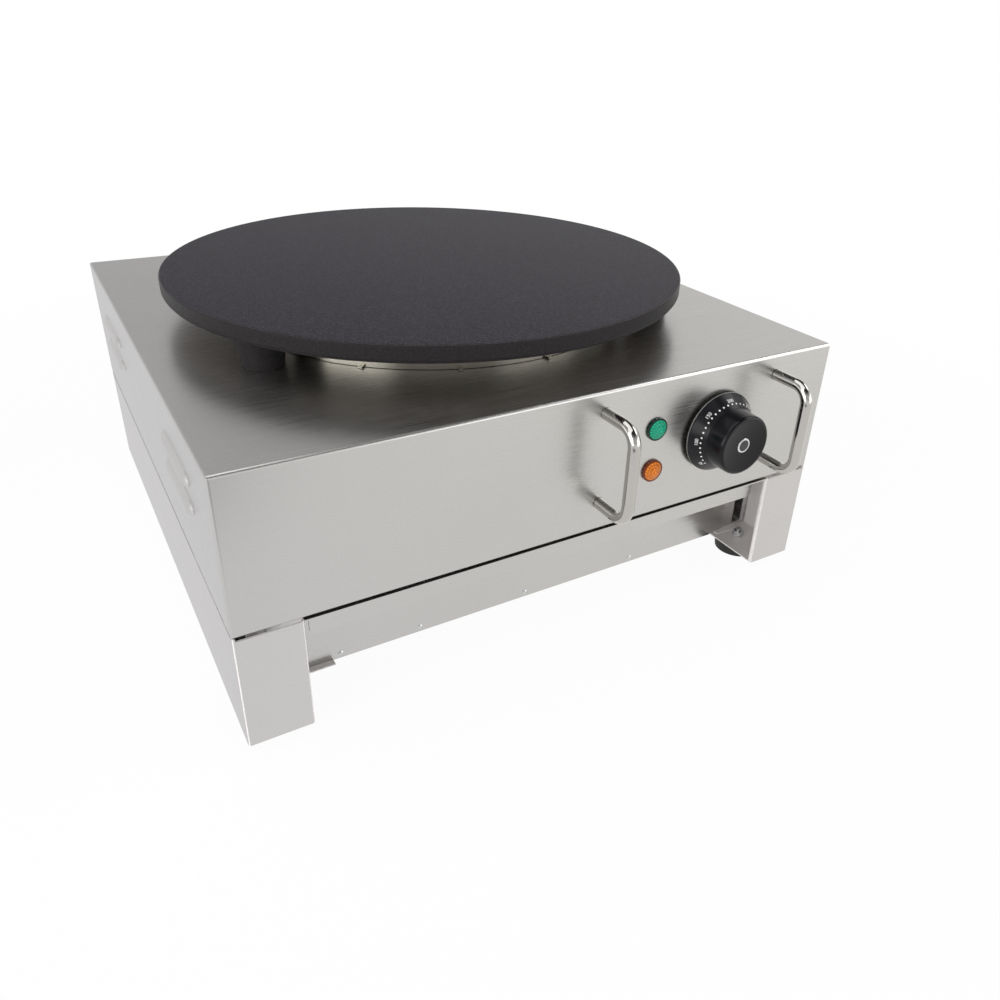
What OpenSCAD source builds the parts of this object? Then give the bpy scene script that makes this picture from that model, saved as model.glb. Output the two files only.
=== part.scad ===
// Electric crepe maker: a round cast griddle on a bent sheet-steel cabinet with a recessed plinth.
// Millimetres, X to the right, Y to the rear, Z up. The origin lies on the worktop, under the
// middle of the overall box, and cabinet_y sets the cabinet's own centre line from it.

/* [Cabinet] */
// Width over the side panels
cabinet_w = 455; // [430:1:520]
// Depth from the front panel to the rear wall
cabinet_d = 445; // [430:1:520]
// Height of the cover's top sheet above the worktop
cabinet_top = 196; // [190:1:240]
// Height of the cover's lower edge above the worktop
seam_z = 92; // [84:1:96]
// Thickness of the stainless sheet
sheet_t = 1; // [0.8:0.1:1.4]
// Outside radius of the sheet's bends
bend_r = 2; // [1.6:0.1:3]
// Width of the flange folded in along the cover's lower edge
hem_w = 12; // [8:1:16]
// Gap that shows between the cover and the legs' front faces
front_gap = 2; // [1:0.5:4]
// Thin seam between the cover and the side panels
side_gap = 0.4; // [0.3:0.1:0.8]

/* [Louvers] */
// Length of one pressed louver
louver_l = 75; // [50:1:90]
// Height of one louver, from its open lip to its top
louver_h = 8; // [6:0.5:10]
// How far a louver's lip stands proud of the panel
louver_proud = 3; // [2:0.1:4]
// Height of the upper row's lips above the cover's lower edge
louver_row_h = 68; // [50:1:80]
// Distance between the rows
louver_pitch = 19; // [16:0.5:24]
// Number of rows
louver_rows = 2; // [1:1:3]
// Distance of each group's middle from the cabinet's centre line
louver_offset = 125; // [90:1:140]

/* [Plinth] */
// Width of a leg's front face
leg_w = 41.5; // [36:0.5:50]
// Depth of the recess between the front legs
recess_d = 50; // [46:1:60]
// Depth of the lip folded in along the inner edge of a leg's face
leg_lip_d = 3; // [2.5:0.5:6]
// Distance of the front rail behind the front panel
rail_setback = 10; // [6:0.5:16]
// Height of the front rail
rail_h = 19.5; // [14:0.5:34]
// Gap between each end of the front rail and the leg beside it
rail_end_gap = 5; // [3:0.5:8]
// Radius of the rail's lower corners
rail_corner_r = 3; // [1:0.5:6]
// How far the kick panel reaches behind each leg
kick_overlap = 12.5; // [8:0.5:14]
// Width of the upright slot behind each front leg
slot_w = 10; // [5:0.5:12]
// Height of the upright slot
slot_h = 55; // [30:1:60]
// Distance of the slot's middle from the side of the cabinet
slot_in = 11; // [10:0.5:14]
// Width of the flanges that carry the chassis and the bottom plate
flange_w = 24; // [18:1:30]

/* [Feet] */
// Height of a rubber foot
foot_h = 10; // [8:0.5:20]
// Diameter of a rubber foot at its top
foot_d = 39; // [30:1:40]
// Distance of a foot's centre from the front or rear of the cabinet
foot_in_y = 37; // [24:0.5:44]

/* [Griddle] */
// Diameter of the griddle plate
plate_d = 402; // [380:1:420]
// Thickness of the griddle plate at its rim
plate_t = 12; // [10:0.5:20]
// Height of the griddle's underside above the cover
plate_lift = 21.6; // [20:0.1:30]
// Rounding of the griddle's upper edge
plate_edge_r = 1.5; // [0.5:0.1:3]
// Diameter of a cast leg where it stands on the cover
cast_leg_d = 27.6; // [22:0.2:30]
// Taper of a cast leg: how much wider it is at the griddle
cast_leg_flare = 5.4; // [2:0.2:8]
// Distance of a cast leg's axis inside the griddle's rim
cast_leg_inset = 21; // [19:0.5:24]
// Direction of the first cast leg, counted from the right
cast_leg_angle = 88; // [60:1:120]

/* [Heater] */
// Distance of the reflector's wall inside the griddle's rim
reflector_inset = 45.5; // [44:0.5:60]
// Gap between the reflector's upper edge and the griddle
reflector_gap = 2.5; // [1.5:0.5:6]
// Number of tabs that hold the reflector down
tab_count = 15; // [8:1:20]
// Diameter of a heating tube
tube_d = 8; // [6:0.5:8.5]
// Distance of the outer heating ring inside the reflector's wall
ring_inset = 30; // [20:1:40]
// Distance between the outer and the inner heating ring
ring_pitch = 50; // [40:1:55]
// Length of the heating tubes' tails below the rings
tail_l = 50; // [40:1:58]
// Diameter of the temperature sensor's bulb
bulb_d = 6; // [4:0.5:6.5]
// Length of the temperature sensor's bulb
bulb_l = 60; // [40:1:80]

/* [Knob] */
// Distance of the knob's axis right of the centre line
knob_x = 121.5; // [118:0.5:126]
// Height of the knob's axis above the cover's lower edge
knob_h = 55; // [50:0.5:60]
// Diameter of the dial skirt
dial_d = 60; // [52:1:64]
// Gap between the front panel and the dial skirt
dial_gap = 3; // [2.6:0.1:4]
// Depth of the dial skirt
dial_t = 12; // [10:0.5:15]
// Height of the dial skirt's upright rim
dial_rim_t = 1.6; // [1.2:0.1:3]
// Diameter of the cap at its face
cap_d = 44; // [38:1:46]
// Depth of the cap
cap_t = 14.5; // [12:0.5:20]
// Rounding of the cap's front edge
cap_edge_r = 2.5; // [1:0.1:4]
// Depth of the hollow in the cap's face
dish_t = 1.8; // [1:0.1:3]
// Diameter of the thermostat's shaft
shaft_d = 6; // [5:0.5:8]

/* [Lights] */
// Distance of the lights right of the centre line
light_x = 65; // [60:0.5:70]
// Height of the green light above the cover's lower edge
green_h = 68; // [62:0.5:74]
// Height of the amber light above the cover's lower edge
amber_h = 36; // [30:0.5:44]
// Diameter of a lens at its flange
lens_d = 16.6; // [14:0.2:20]
// How far a lens stands proud of the panel
lens_proud = 4.4; // [3.4:0.1:6]

/* [Handles] */
// Distance of the left handle right of the centre line
left_handle_x = 21; // [10:0.5:30]
// Distance of the right handle right of the centre line
right_handle_x = 173.5; // [168:0.5:180]
// Height of a handle's lower arm above the cover's lower edge
handle_low_h = 21.5; // [20:0.5:24]
// Distance between a handle's arms
handle_span = 67; // [56:0.5:68]
// Distance of a handle's bar in front of the panel
handle_reach = 31.5; // [26:0.5:44]
// Diameter of the handle rod
rod_d = 8.5; // [7.5:0.1:10]
// Radius of a handle's bends, at the rod's middle
rod_bend_r = 12; // [8:0.5:16]

/* [Rear] */
// Distance of the cable gland inside the right side panel
gland_in_x = 87.5; // [70:0.5:110]
// Height of the cable gland above the worktop
gland_z = 50; // [46:1:56]
// Diameter of the cable that the gland takes
gland_bore_d = 9.4; // [7:0.1:11]
// Number of upright vent slots in the rear panel
rear_vents = 14; // [6:1:16]

/* [Hidden] */
$fn = 96;

// clearances
seat = 0.3;             // between pieces that rest on each other
hole_gap = 0.15;        // round a screw or thread in its hole
run_gap = 0.05;         // round the turning shaft in its bush
eps = 0.5;              // overshoot of a cutting tool

// standard fasteners: thread diameter, head diameter or width, head height
m3 = [3, 5.6, 1.8];
m4 = [4, 7.4, 2.2];
m5 = [5, 8.6, 2.6];
m8 = [8, 13, 5.3];
rivet = [2.4, 4.2, 0.6];
sheet_screw_l = 7;
washer_t = 1.2;
m5_washer_d = 12;
m8_washer_d = 20;
m5_nut_w = 8;
m5_nut_h = 4;

// cabinet
half_w = cabinet_w / 2;
half_d = cabinet_d / 2;
inner_r = bend_r - sheet_t;
base_top = seam_z - side_gap;                   // top of the side panels
pan_top = base_top - sheet_t - seat;            // top of the chassis pan
pan_bottom = pan_top - sheet_t;
leg_top = seam_z - front_gap;                   // top of the legs' faces
return_top = pan_bottom - seat;                 // top of the legs' inner sides
floor_top = foot_h + sheet_t;                   // top of the bottom flanges
leg_in_x = half_w - leg_w;                      // inner side of a leg, from the centre line
kick_y = recess_d - half_d;                     // front of the kick panel
wall_y = kick_y + sheet_t + seat;               // front of the walls behind the legs
kick_half = leg_in_x - seat;                    // the kick panel's foot ends between the legs
bottom_z = floor_top + seat;
ledge_d = 4.5;                                  // foot of a leg's rear wall, welded to its floor
ledge_top = floor_top + sheet_t;

// griddle and heater, upwards from the cover
plate_r = plate_d / 2;
plate_z = cabinet_top + plate_lift;
cast_leg_r = plate_r - cast_leg_inset;
cast_legs = 3;
reflector_r = plate_r - reflector_inset;
opening_r = reflector_r - 15;
reflector_z = cabinet_top + seat;
ring_z = plate_z - seat - tube_d / 2;
outer_ring_r = reflector_r - ring_inset;
inner_ring_r = outer_ring_r - ring_pitch;
tail_x = 12;                                    // half the distance between a ring's tails
tail_bend = tube_d;
clamp_t = 3;
clamp_w = 22;
clamp_z = ring_z - tube_d / 2 - seat - clamp_t;
boss_r = 12;
boss_h = 5;
stud_depth = 5;                                 // how far the clamp's stud enters the griddle
thread_web = 6;                                 // solid end of a cast leg above its thread
stud_z = reflector_z + sheet_t + seat;
insulation_z = reflector_z + sheet_t + seat;
insulation_t = clamp_z - seat - insulation_z;
bulb_y = -(outer_ring_r + inner_ring_r) / 2;
bulb_z = plate_z - seat - bulb_d / 2;
pipe_d = 2.4;                                   // capillary of the sensor
pipe_x = bulb_l / 2 + 12;
pipe_z = cabinet_top - 30;                      // its stretch under the cover

// controls on the front panel
knob_z = seam_z + knob_h;
thermo_w = 44;
thermo_h = 36;
thermo_t = 34;
thermo_screw = 14;                              // each screw's distance from the shaft
bush_d = 10;
bush_hole_d = bush_d + 1;
shaft_back = 24;
light_z = [seam_z + green_h, seam_z + amber_h];
light_body_d = 12;
light_body_l = 26;
handle_z = seam_z + handle_low_h;
handle_x = [left_handle_x, right_handle_x];
arm_z = [handle_z, handle_z + handle_span];
handle_screw_l = 2 * m5[0];                     // thread inside a handle's arm

// gland, behind the rear panel's outer face
gland_x = half_w - gland_in_x;
rear_face = half_d + seat + sheet_t;
gland_thread_d = 20;
gland_hex = 24;
gland_hex_t = 6;
gland_dome_t = 16;
gland_inside = 13;
locknut_t = 5;
cable_hole_d = 22;                              // in the tray, over the gland
cable_hole_in_y = 60;

// overall reach to the front and to the rear
front_reach = half_d + handle_reach + rod_d / 2;
rear_reach = rear_face + gland_hex_t + gland_dome_t;
cabinet_y = (front_reach - rear_reach) / 2;

steel = [0.80, 0.80, 0.78];
zinc = [0.70, 0.71, 0.72];
cast = [0.13, 0.13, 0.14];

// ---- shared shapes ----

// Puts a piece from the cabinet's centre line into the part's own frame.
module placed() {
    translate([0, cabinet_y, 0]) children();
}

// Faces the drawing plane to the front: local Z points out of the front panel.
module on_front(x, z) {
    translate([x, -half_d, z]) rotate([90, 0, 0]) children();
}

// Local Z points out of the rear panel's outer face.
module on_rear(x, z, y = rear_face) {
    translate([x, y, z]) rotate([-90, 0, 0]) children();
}

// Rectangle about the origin with four round corners.
module round_rect(w, d, r) {
    square([w - 2 * r, d], center = true);
    square([w, d - 2 * r], center = true);
    for (x = [-1, 1], y = [-1, 1]) {
        translate([x * (w / 2 - r), y * (d / 2 - r)]) circle(r, $fn = 32);
    }
}

// Upright slot with round ends, cut along Z.
module slot(w, h, depth, r) {
    linear_extrude(depth) round_rect(w, h, min(r, w / 2 - 0.01));
}

// Pan-head screw: head on the local XY plane, thread going down.
module pan_screw(size, length) {
    cylinder(d1 = size[1], d2 = size[1] * 0.8, h = size[2]);
    translate([0, 0, -length]) cylinder(d = size[0], h = length + eps);
}

// Hexagon head below the local XY plane, thread going up.
module hex_bolt(size, length) {
    translate([0, 0, -size[2]]) cylinder(d = size[1] / cos(30), h = size[2], $fn = 6);
    translate([0, 0, -eps]) cylinder(d = size[0], h = length + eps);
}

// Hexagon nut standing on the local XY plane.
module hex_nut(size, height) {
    difference() {
        cylinder(d = size[1] / cos(30), h = height, $fn = 6);
        translate([0, 0, -eps]) cylinder(d = size[0] + 2 * hole_gap, h = height + 2 * eps);
    }
}

// Flat washer standing on the local XY plane.
module washer(inner_d, outer_d) {
    difference() {
        cylinder(d = outer_d, h = washer_t);
        translate([0, 0, -eps]) cylinder(d = inner_d + 2 * hole_gap, h = washer_t + 2 * eps);
    }
}

// Quarter ring that starts at the origin heading for -Y and leaves heading for -Z.
module elbow(bend, rod) {
    translate([0, 0, -bend]) rotate([180, -90, 0]) {
        rotate_extrude(angle = 90) translate([bend, 0]) circle(d = rod, $fn = 32);
    }
}

// Round hole through one or two sheets, cut along the local Z axis.
module round_hole(d) {
    reach = 5 * sheet_t;
    translate([0, 0, -reach]) cylinder(d = d, h = 2 * reach);
}

// Screw hole in sheet, cut along the local Z axis.
module screw_hole(size) {
    round_hole(size[0] + 2 * hole_gap);
}

// ---- screw patterns ----

foot_x = half_w - leg_w / 2;
foot_y = half_d - foot_in_y;
module at_feet() {
    for (x = [-1, 1], y = [-1, 1]) {
        translate([x * foot_x, y * foot_y, 0]) children();
    }
}

module at_cast_legs() {
    for (i = [0 : cast_legs - 1]) {
        rotate([0, 0, cast_leg_angle + i * 360 / cast_legs]) translate([cast_leg_r, 0, 0]) children();
    }
}

side_screw_y = [-0.6 * half_d, 0, 0.6 * half_d];
chassis_screw_x = half_w - (hem_w + flange_w) / 2;
module at_chassis_screws() {
    for (x = [-1, 1], y = side_screw_y) {
        translate([x * chassis_screw_x, y, pan_top]) children();
    }
}

bottom_screw_x = half_w - flange_w / 2;
module at_bottom_screws() {
    for (x = [-1, 1], y = side_screw_y) {
        translate([x * bottom_screw_x, y, foot_h]) children();
    }
}

kick_rivet_x = [-151, -91.5, -3.5, 97];
kick_rivet_z = bottom_z + sheet_t + rivet[0] / 2 + seat;
module at_kick_rivets() {
    for (x = kick_rivet_x) {
        translate([x, kick_y, kick_rivet_z]) rotate([90, 0, 0]) children();
    }
}

rear_low = foot_h + 2;
rear_high = seam_z - 4;
rear_screw_x = leg_in_x + 5;
rear_screw_in = 2 * m4[0];
rear_screw_z = [rear_low + rear_screw_in, (rear_low + rear_high) / 2, rear_high - rear_screw_in];
module at_rear_screws() {
    for (x = [-1, 1], z = rear_screw_z) {
        on_rear(x * rear_screw_x, z) children();
    }
}

cover_screw_x = [-160, 0, 160];
cover_screw_z = seam_z + 2 * m4[0];
module at_cover_screws() {
    for (x = cover_screw_x) {
        on_rear(x, cover_screw_z, half_d) children();
    }
}

module at_handle_ends() {
    for (x = handle_x, z = arm_z) {
        on_front(x, z) children();
    }
}

// ---- griddle ----

module cast_leg() {
    difference() {
        translate([0, 0, reflector_z]) cylinder(
            d1 = cast_leg_d,
            d2 = cast_leg_d + cast_leg_flare,
            h = plate_z - reflector_z + eps
        );
        translate([0, 0, cabinet_top]) cylinder(d = m8[0] + 2 * hole_gap, h = plate_lift - thread_web);
    }
}

module griddle_disc() {
    low_r = 2 * plate_edge_r;
    rotate_extrude($fn = 180) {
        square([plate_r - low_r, plate_t]);
        translate([0, low_r]) square([plate_r, plate_t - low_r - plate_edge_r]);
        square([plate_r - plate_edge_r, plate_t]);
        translate([plate_r - plate_edge_r, plate_t - plate_edge_r]) circle(plate_edge_r, $fn = 32);
        translate([plate_r - low_r, 0]) intersection() {
            translate([0, low_r]) circle(low_r, $fn = 48);
            square(low_r);
        }
    }
}

module griddle_plate() placed() color(cast) {
    difference() {
        union() {
            translate([0, 0, plate_z]) griddle_disc();
            translate([0, 0, plate_z - boss_h]) cylinder(r = boss_r, h = boss_h + eps);
        }
        translate([0, 0, plate_z - 2 * boss_h]) {
            cylinder(d = m8[0] + 2 * hole_gap, h = 2 * boss_h + stud_depth + eps);
        }
    }
    at_cast_legs() cast_leg();
}

module plate_washers() placed() color(zinc) {
    at_cast_legs() translate([0, 0, cabinet_top - sheet_t - seat - washer_t]) washer(m8[0], m8_washer_d);
}

module plate_bolts() placed() color(zinc) {
    grip = sheet_t + 2 * seat + washer_t;
    thread_l = plate_lift - thread_web - 2;
    at_cast_legs() translate([0, 0, cabinet_top - grip]) hex_bolt(m8, grip + thread_l);
}

// ---- heater ----

// Ring tube with a gap at the rear, both ends bent down into tails.
module heating_ring(ring_r) {
    half_gap = asin((tail_x + tail_bend) / ring_r);
    translate([0, 0, ring_z]) {
        rotate([0, 0, 90 + half_gap]) rotate_extrude(angle = 360 - 2 * half_gap) {
            translate([ring_r, 0]) circle(d = tube_d, $fn = 32);
        }
        for (side = [0, 1]) mirror([side, 0, 0]) {
            rotate([0, 0, 90 + half_gap]) translate([ring_r, 0, 0]) {
                elbow(tail_bend, tube_d);
                translate([0, -tail_bend, -tail_l]) cylinder(d = tube_d, h = tail_l - tail_bend);
            }
        }
    }
}

module heating_elements() placed() color([0.32, 0.30, 0.28]) {
    heating_ring(outer_ring_r);
    heating_ring(inner_ring_r);
}

// Where a ring's tails go down, for the holes round them.
module at_tails() {
    for (ring_r = [outer_ring_r, inner_ring_r], side = [0, 1]) mirror([side, 0, 0]) {
        half_gap = asin((tail_x + tail_bend) / ring_r);
        rotate([0, 0, 90 + half_gap]) translate([ring_r, -tail_bend, 0]) children();
    }
}

// Three-armed bar that presses the rings against the griddle.
module element_clamp() placed() color(zinc) {
    arm_l = outer_ring_r + tube_d;
    hub_r = 24;
    translate([0, 0, clamp_z]) difference() {
        union() {
            for (a = [30, 150, 270]) {
                rotate([0, 0, a]) translate([0, -clamp_w / 2, 0]) cube([arm_l, clamp_w, clamp_t]);
            }
            cylinder(r = hub_r, h = clamp_t);
        }
        translate([0, 0, -eps]) cylinder(d = m8[0] + 1, h = clamp_t + 2 * eps);
    }
}

module clamp_stud() placed() color(zinc) {
    translate([0, 0, stud_z]) cylinder(d = m8[0], h = plate_z + stud_depth - stud_z);
}

module clamp_nut() placed() color(zinc) {
    nut_h = min(0.8 * m8[0], clamp_z - seat - stud_z);
    translate([0, 0, clamp_z - seat - nut_h]) hex_nut(m8, nut_h);
}

// Fluid bulb under the griddle, with its capillary down to the thermostat.
module sensor_bulb() placed() color([0.72, 0.45, 0.30]) {
    route = [
        [bulb_l / 2, bulb_y, bulb_z],
        [pipe_x, bulb_y, bulb_z],
        [pipe_x, bulb_y, pipe_z],
        [knob_x, bulb_y, pipe_z],
        [knob_x, thermo_back_y + 2 * pipe_d, knob_z],
        [knob_x, thermo_back_y, knob_z]
    ];
    translate([-bulb_l / 2, bulb_y, bulb_z]) rotate([0, 90, 0]) cylinder(d = bulb_d, h = bulb_l);
    for (i = [0 : len(route) - 2]) {
        rod_between(route[i], route[i + 1], pipe_d);
    }
    for (i = [1 : len(route) - 2]) {
        translate(route[i]) sphere(d = pipe_d, $fn = 24);
    }
}

// Round bar from one point to another.
module rod_between(from, to, d) {
    run = to - from;
    length = norm(run);
    translate(from) rotate([0, acos(run[2] / length), atan2(run[1], run[0])]) {
        cylinder(d = d, h = length, $fn = 24);
    }
}

module insulation_disc() placed() color([0.90, 0.88, 0.82]) {
    translate([0, 0, insulation_z]) difference() {
        cylinder(r = reflector_r - sheet_t - 2, h = insulation_t);
        translate([0, 0, -eps]) cylinder(r = boss_r, h = insulation_t + 2 * eps);
        at_tails() translate([0, 0, -eps]) cylinder(d = tube_d + 4, h = insulation_t + 2 * eps);
        translate([pipe_x, bulb_y, -eps]) cylinder(d = pipe_d + 3, h = insulation_t + 2 * eps);
    }
}

// Shallow bright cup round the heater; its wall is seen below the griddle's rim.
module reflector_pan() placed() color([0.86, 0.85, 0.82]) {
    wall_h = plate_z - reflector_gap - reflector_z;
    tab_w = 3;
    tab_l = 4;
    first_tab = -107.5;
    root_r = reflector_r - sheet_t / 2;
    translate([0, 0, reflector_z]) {
        difference() {
            cylinder(r = reflector_r, h = wall_h, $fn = 180);
            translate([0, 0, sheet_t]) cylinder(r = reflector_r - sheet_t, h = wall_h, $fn = 180);
            translate([0, 0, -eps]) cylinder(r = boss_r - 2, h = 2 * sheet_t + eps);
            at_tails() translate([0, 0, -eps]) cylinder(d = tube_d + 6, h = sheet_t + 2 * eps);
            translate([pipe_x, bulb_y, -eps]) cylinder(d = pipe_d + 3, h = sheet_t + 2 * eps);
        }
        for (i = [0 : tab_count - 1]) {
            rotate([0, 0, first_tab + i * 360 / tab_count]) translate([root_r, -tab_w / 2, 0]) {
                cube([reflector_r + tab_l - root_r, tab_w, sheet_t]);
            }
        }
    }
}

// ---- cover ----

// Solid that swells out of the plane x = 0 towards -X, round all over.
module louver_swell(skin) {
    ball_r = (louver_h * louver_h + louver_proud * louver_proud) / (2 * louver_proud);
    straight = louver_l / 2 - louver_h;
    translate([ball_r - louver_proud, 0, 0]) {
        for (y = [-1, 1]) {
            translate([0, y * straight, 0]) sphere(ball_r - skin, $fn = 64);
        }
        rotate([90, 0, 0]) translate([0, 0, -straight]) cylinder(r = ball_r - skin, h = 2 * straight);
    }
}

// Upper half space that a louver keeps, out to a little beyond its lip.
module louver_room(inward) {
    translate([-2 * louver_proud, -louver_l, 0]) {
        cube([2 * louver_proud + inward, 2 * louver_l, 2 * louver_h]);
    }
}

module louver_hood() {
    difference() {
        intersection() {
            louver_swell(0);
            louver_room(sheet_t / 2);
        }
        louver_swell(sheet_t);
    }
}

module louver_cut() {
    intersection() {
        louver_swell(sheet_t);
        louver_room(2 * sheet_t);
    }
}

// All louvers of the cover: both sides and the rear wall.
module at_louvers() {
    for (row = [0 : louver_rows - 1], group = [-1, 1]) {
        z = seam_z + louver_row_h - row * louver_pitch;
        for (side = [0, 1]) mirror([side, 0, 0]) {
            translate([-half_w, group * louver_offset, z]) children();
        }
        translate([group * louver_offset, half_d, z]) rotate([0, 0, -90]) children();
    }
}

// The cover's outer form, shrunk all round: every edge is a bend except the rear wall's lower one.
module cover_form(inset) {
    w = cabinet_w - 2 * inset;
    d = cabinet_d - 2 * inset;
    h = cabinet_top - seam_z - 2 * inset;
    r = bend_r - inset;
    mid_z = (cabinet_top + seam_z) / 2;
    intersection() {
        translate([0, 0, mid_z - h / 2]) linear_extrude(h) round_rect(w, d, r);
        translate([0, d / 2, mid_z]) rotate([90, 0, 0]) linear_extrude(d) round_rect(w, h, r);
        translate([-w / 2, 0, mid_z]) rotate([90, 0, 90]) linear_extrude(w) {
            round_rect(d, h, r);
            translate([d / 2 - r, -h / 2]) square(r);
        }
    }
}

// Five walls and the flange turned in under the front and both sides.
module cover_shell() {
    difference() {
        cover_form(0);
        cover_form(sheet_t);
        translate([hem_w - half_w, hem_w - half_d, seam_z - eps]) {
            cube([cabinet_w - 2 * hem_w, cabinet_d - hem_w - sheet_t, sheet_t + 2 * eps]);
        }
    }
}

module top_cover() placed() color(steel) {
    difference() {
        cover_shell();
        at_louvers() louver_cut();
        translate([0, 0, cabinet_top]) round_hole(2 * opening_r, $fn = 180);
        at_cast_legs() translate([0, 0, cabinet_top]) round_hole(m8[0] + 1);
        on_front(knob_x, knob_z) {
            round_hole(bush_hole_d);
            for (side = [-1, 1]) translate([side * thermo_screw, 0, 0]) screw_hole(m4);
        }
        for (z = light_z) on_front(light_x, z) round_hole(light_body_d + 2 * hole_gap);
        at_handle_ends() screw_hole(m5);
        at_cover_screws() screw_hole(m4);
    }
    at_louvers() louver_hood();
}

// ---- plinth ----

// Side panel, front leg and rear leg of the left side, bent from one sheet.
module base_profile() {
    inner_edge = leg_w / 2 - bend_r;
    translate([-half_w + leg_w / 2, 0]) difference() {
        round_rect(leg_w, cabinet_d, bend_r);
        round_rect(leg_w - 2 * sheet_t, cabinet_d - 2 * sheet_t, inner_r);
        translate([inner_edge, leg_lip_d - half_d]) square([2 * bend_r, cabinet_d]);
    }
}

// Floors of both legs and the flange between them.
module base_floor() {
    edge = sheet_t / 2;
    pad_d = wall_y + half_d;
    for (y = [0, 1]) mirror([0, y, 0]) {
        translate([-half_w + edge, edge - half_d, foot_h]) cube([leg_w - edge, pad_d, sheet_t]);
    }
    translate([-half_w + edge, bend_r - half_d, foot_h]) cube([flange_w, cabinet_d - 2 * bend_r, sheet_t]);
}

module base_shelf() {
    translate([-half_w + sheet_t / 2, wall_y, base_top - sheet_t]) {
        cube([flange_w, half_d - wall_y - bend_r, sheet_t]);
    }
}

// Wall at the back of the front leg, with its foot turned forward onto the floor.
module leg_rear_wall() {
    edge = sheet_t / 2;
    translate([-half_w + edge, wall_y, foot_h + edge]) {
        cube([leg_w - edge, sheet_t, return_top - foot_h - edge]);
    }
    translate([-leg_in_x - leg_w * 0.7, kick_y - ledge_d, foot_h + edge]) {
        cube([leg_w * 0.6, wall_y + edge - kick_y + ledge_d, ledge_top - foot_h - edge]);
    }
}

// The left half of the plinth; the right half is its mirror image.
module base_side() {
    lip = 5;
    slot_low = ledge_top + 1;
    slot_corner_r = 2.5;
    difference() {
        union() {
            translate([0, 0, foot_h]) linear_extrude(base_top - foot_h) base_profile();
            intersection() {
                base_floor();
                translate([-half_w + leg_w / 2, 0, 0]) {
                    linear_extrude(seam_z) round_rect(leg_w, cabinet_d, bend_r);
                }
            }
            base_shelf();
            leg_rear_wall();
        }
        // the legs' faces end a little below the cover
        for (y = [0, 1]) mirror([0, y, 0]) {
            translate([-half_w + bend_r, -half_d - lip, leg_top]) cube([leg_w, lip + leg_lip_d + eps, lip]);
        }
        translate([slot_in - half_w, wall_y - lip, slot_low + slot_h / 2]) {
            rotate([-90, 0, 0]) slot(slot_w, slot_h, 2 * lip, slot_corner_r);
        }
        at_feet() translate([0, 0, foot_h]) screw_hole(m5);
        at_chassis_screws() screw_hole(m3);
        at_bottom_screws() screw_hole(m4);
        at_rear_screws() screw_hole(m4);
    }
}

// The left floor carries a small lug that reaches along the foot of the kick panel.
module base_left() placed() color(steel) {
    base_side();
    lug_l = 29;
    lug_d = 5;
    translate([-leg_in_x - eps, kick_y - seat - lug_d, foot_h]) cube([lug_l + eps, lug_d, sheet_t]);
}

module base_right() placed() color(steel) {
    mirror([1, 0, 0]) base_side();
}

// Tray over the plinth: it reaches to the front between the legs, and the rail hangs under it.
module chassis_pan() placed() color(steel) {
    tray_half = half_w - sheet_t - seat;
    rail_half = leg_in_x - rail_end_gap;
    rail_y = rail_setback - half_d;
    tray_back = half_d - sheet_t - seat;
    upstand_half = half_w - sheet_t - hem_w - 2;
    upstand_h = cover_screw_z + m4[1] - pan_bottom;
    difference() {
        union() {
            translate([-tray_half, rail_y, pan_bottom]) {
                cube([2 * tray_half, tray_back - rail_y, sheet_t]);
            }
            translate([-kick_half, seat - half_d, pan_bottom]) {
                cube([2 * kick_half, rail_setback, sheet_t]);
            }
            translate([-rail_half, 0, 0]) rotate([90, 0, 90]) linear_extrude(2 * rail_half) {
                rail_section(rail_y);
            }
            translate([-upstand_half, tray_back - sheet_t, pan_bottom]) {
                cube([2 * upstand_half, sheet_t, upstand_h]);
            }
        }
        for (side = [0, 1]) mirror([side, 0, 0]) {
            translate([rail_half - rail_corner_r, rail_y - eps, pan_top - rail_h - eps]) difference() {
                cube([rail_corner_r + eps, sheet_t + 2 * eps, rail_corner_r + eps]);
                translate([0, -eps, rail_corner_r + eps]) rotate([-90, 0, 0]) {
                    cylinder(r = rail_corner_r, h = sheet_t + 4 * eps, $fn = 32);
                }
            }
        }
        at_chassis_screws() screw_hole(m3);
        at_cover_screws() screw_hole(m4);
        translate([gland_x, half_d - cable_hole_in_y, pan_top]) round_hole(cable_hole_d);
    }
}

// Section of the rail in the YZ plane: an angle whose upper flange is welded under the tray.
module rail_section(rail_y) {
    flange_z = pan_bottom - sheet_t;
    rail_flange = 12;
    weld = sheet_t / 2;
    low = pan_top - rail_h;
    translate([rail_y, low]) square([sheet_t, pan_bottom - bend_r - low]);
    translate([rail_y + bend_r, flange_z]) square([rail_flange - bend_r, sheet_t + weld]);
    translate([rail_y + bend_r, pan_bottom - bend_r]) intersection() {
        difference() {
            circle(bend_r, $fn = 32);
            circle(inner_r, $fn = 32);
        }
        translate([-bend_r, 0]) square(bend_r);
    }
}

// Panel at the back of the recess: its ends lie on the legs' rear walls above their feet.
module kick_panel() placed() color(steel) {
    h = return_top - foot_h;
    top_flange = 14;
    notch_h = ledge_top + seat - foot_h;
    difference() {
        union() {
            translate([-kick_half, kick_y, foot_h]) cube([2 * kick_half, sheet_t, h]);
            translate([-leg_in_x - kick_overlap, kick_y, foot_h + notch_h]) {
                cube([2 * (leg_in_x + kick_overlap), sheet_t, h - notch_h]);
            }
            translate([-kick_half, kick_y, return_top - sheet_t]) {
                cube([2 * kick_half, top_flange, sheet_t]);
            }
        }
        at_kick_rivets() screw_hole(rivet);
    }
}

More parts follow.
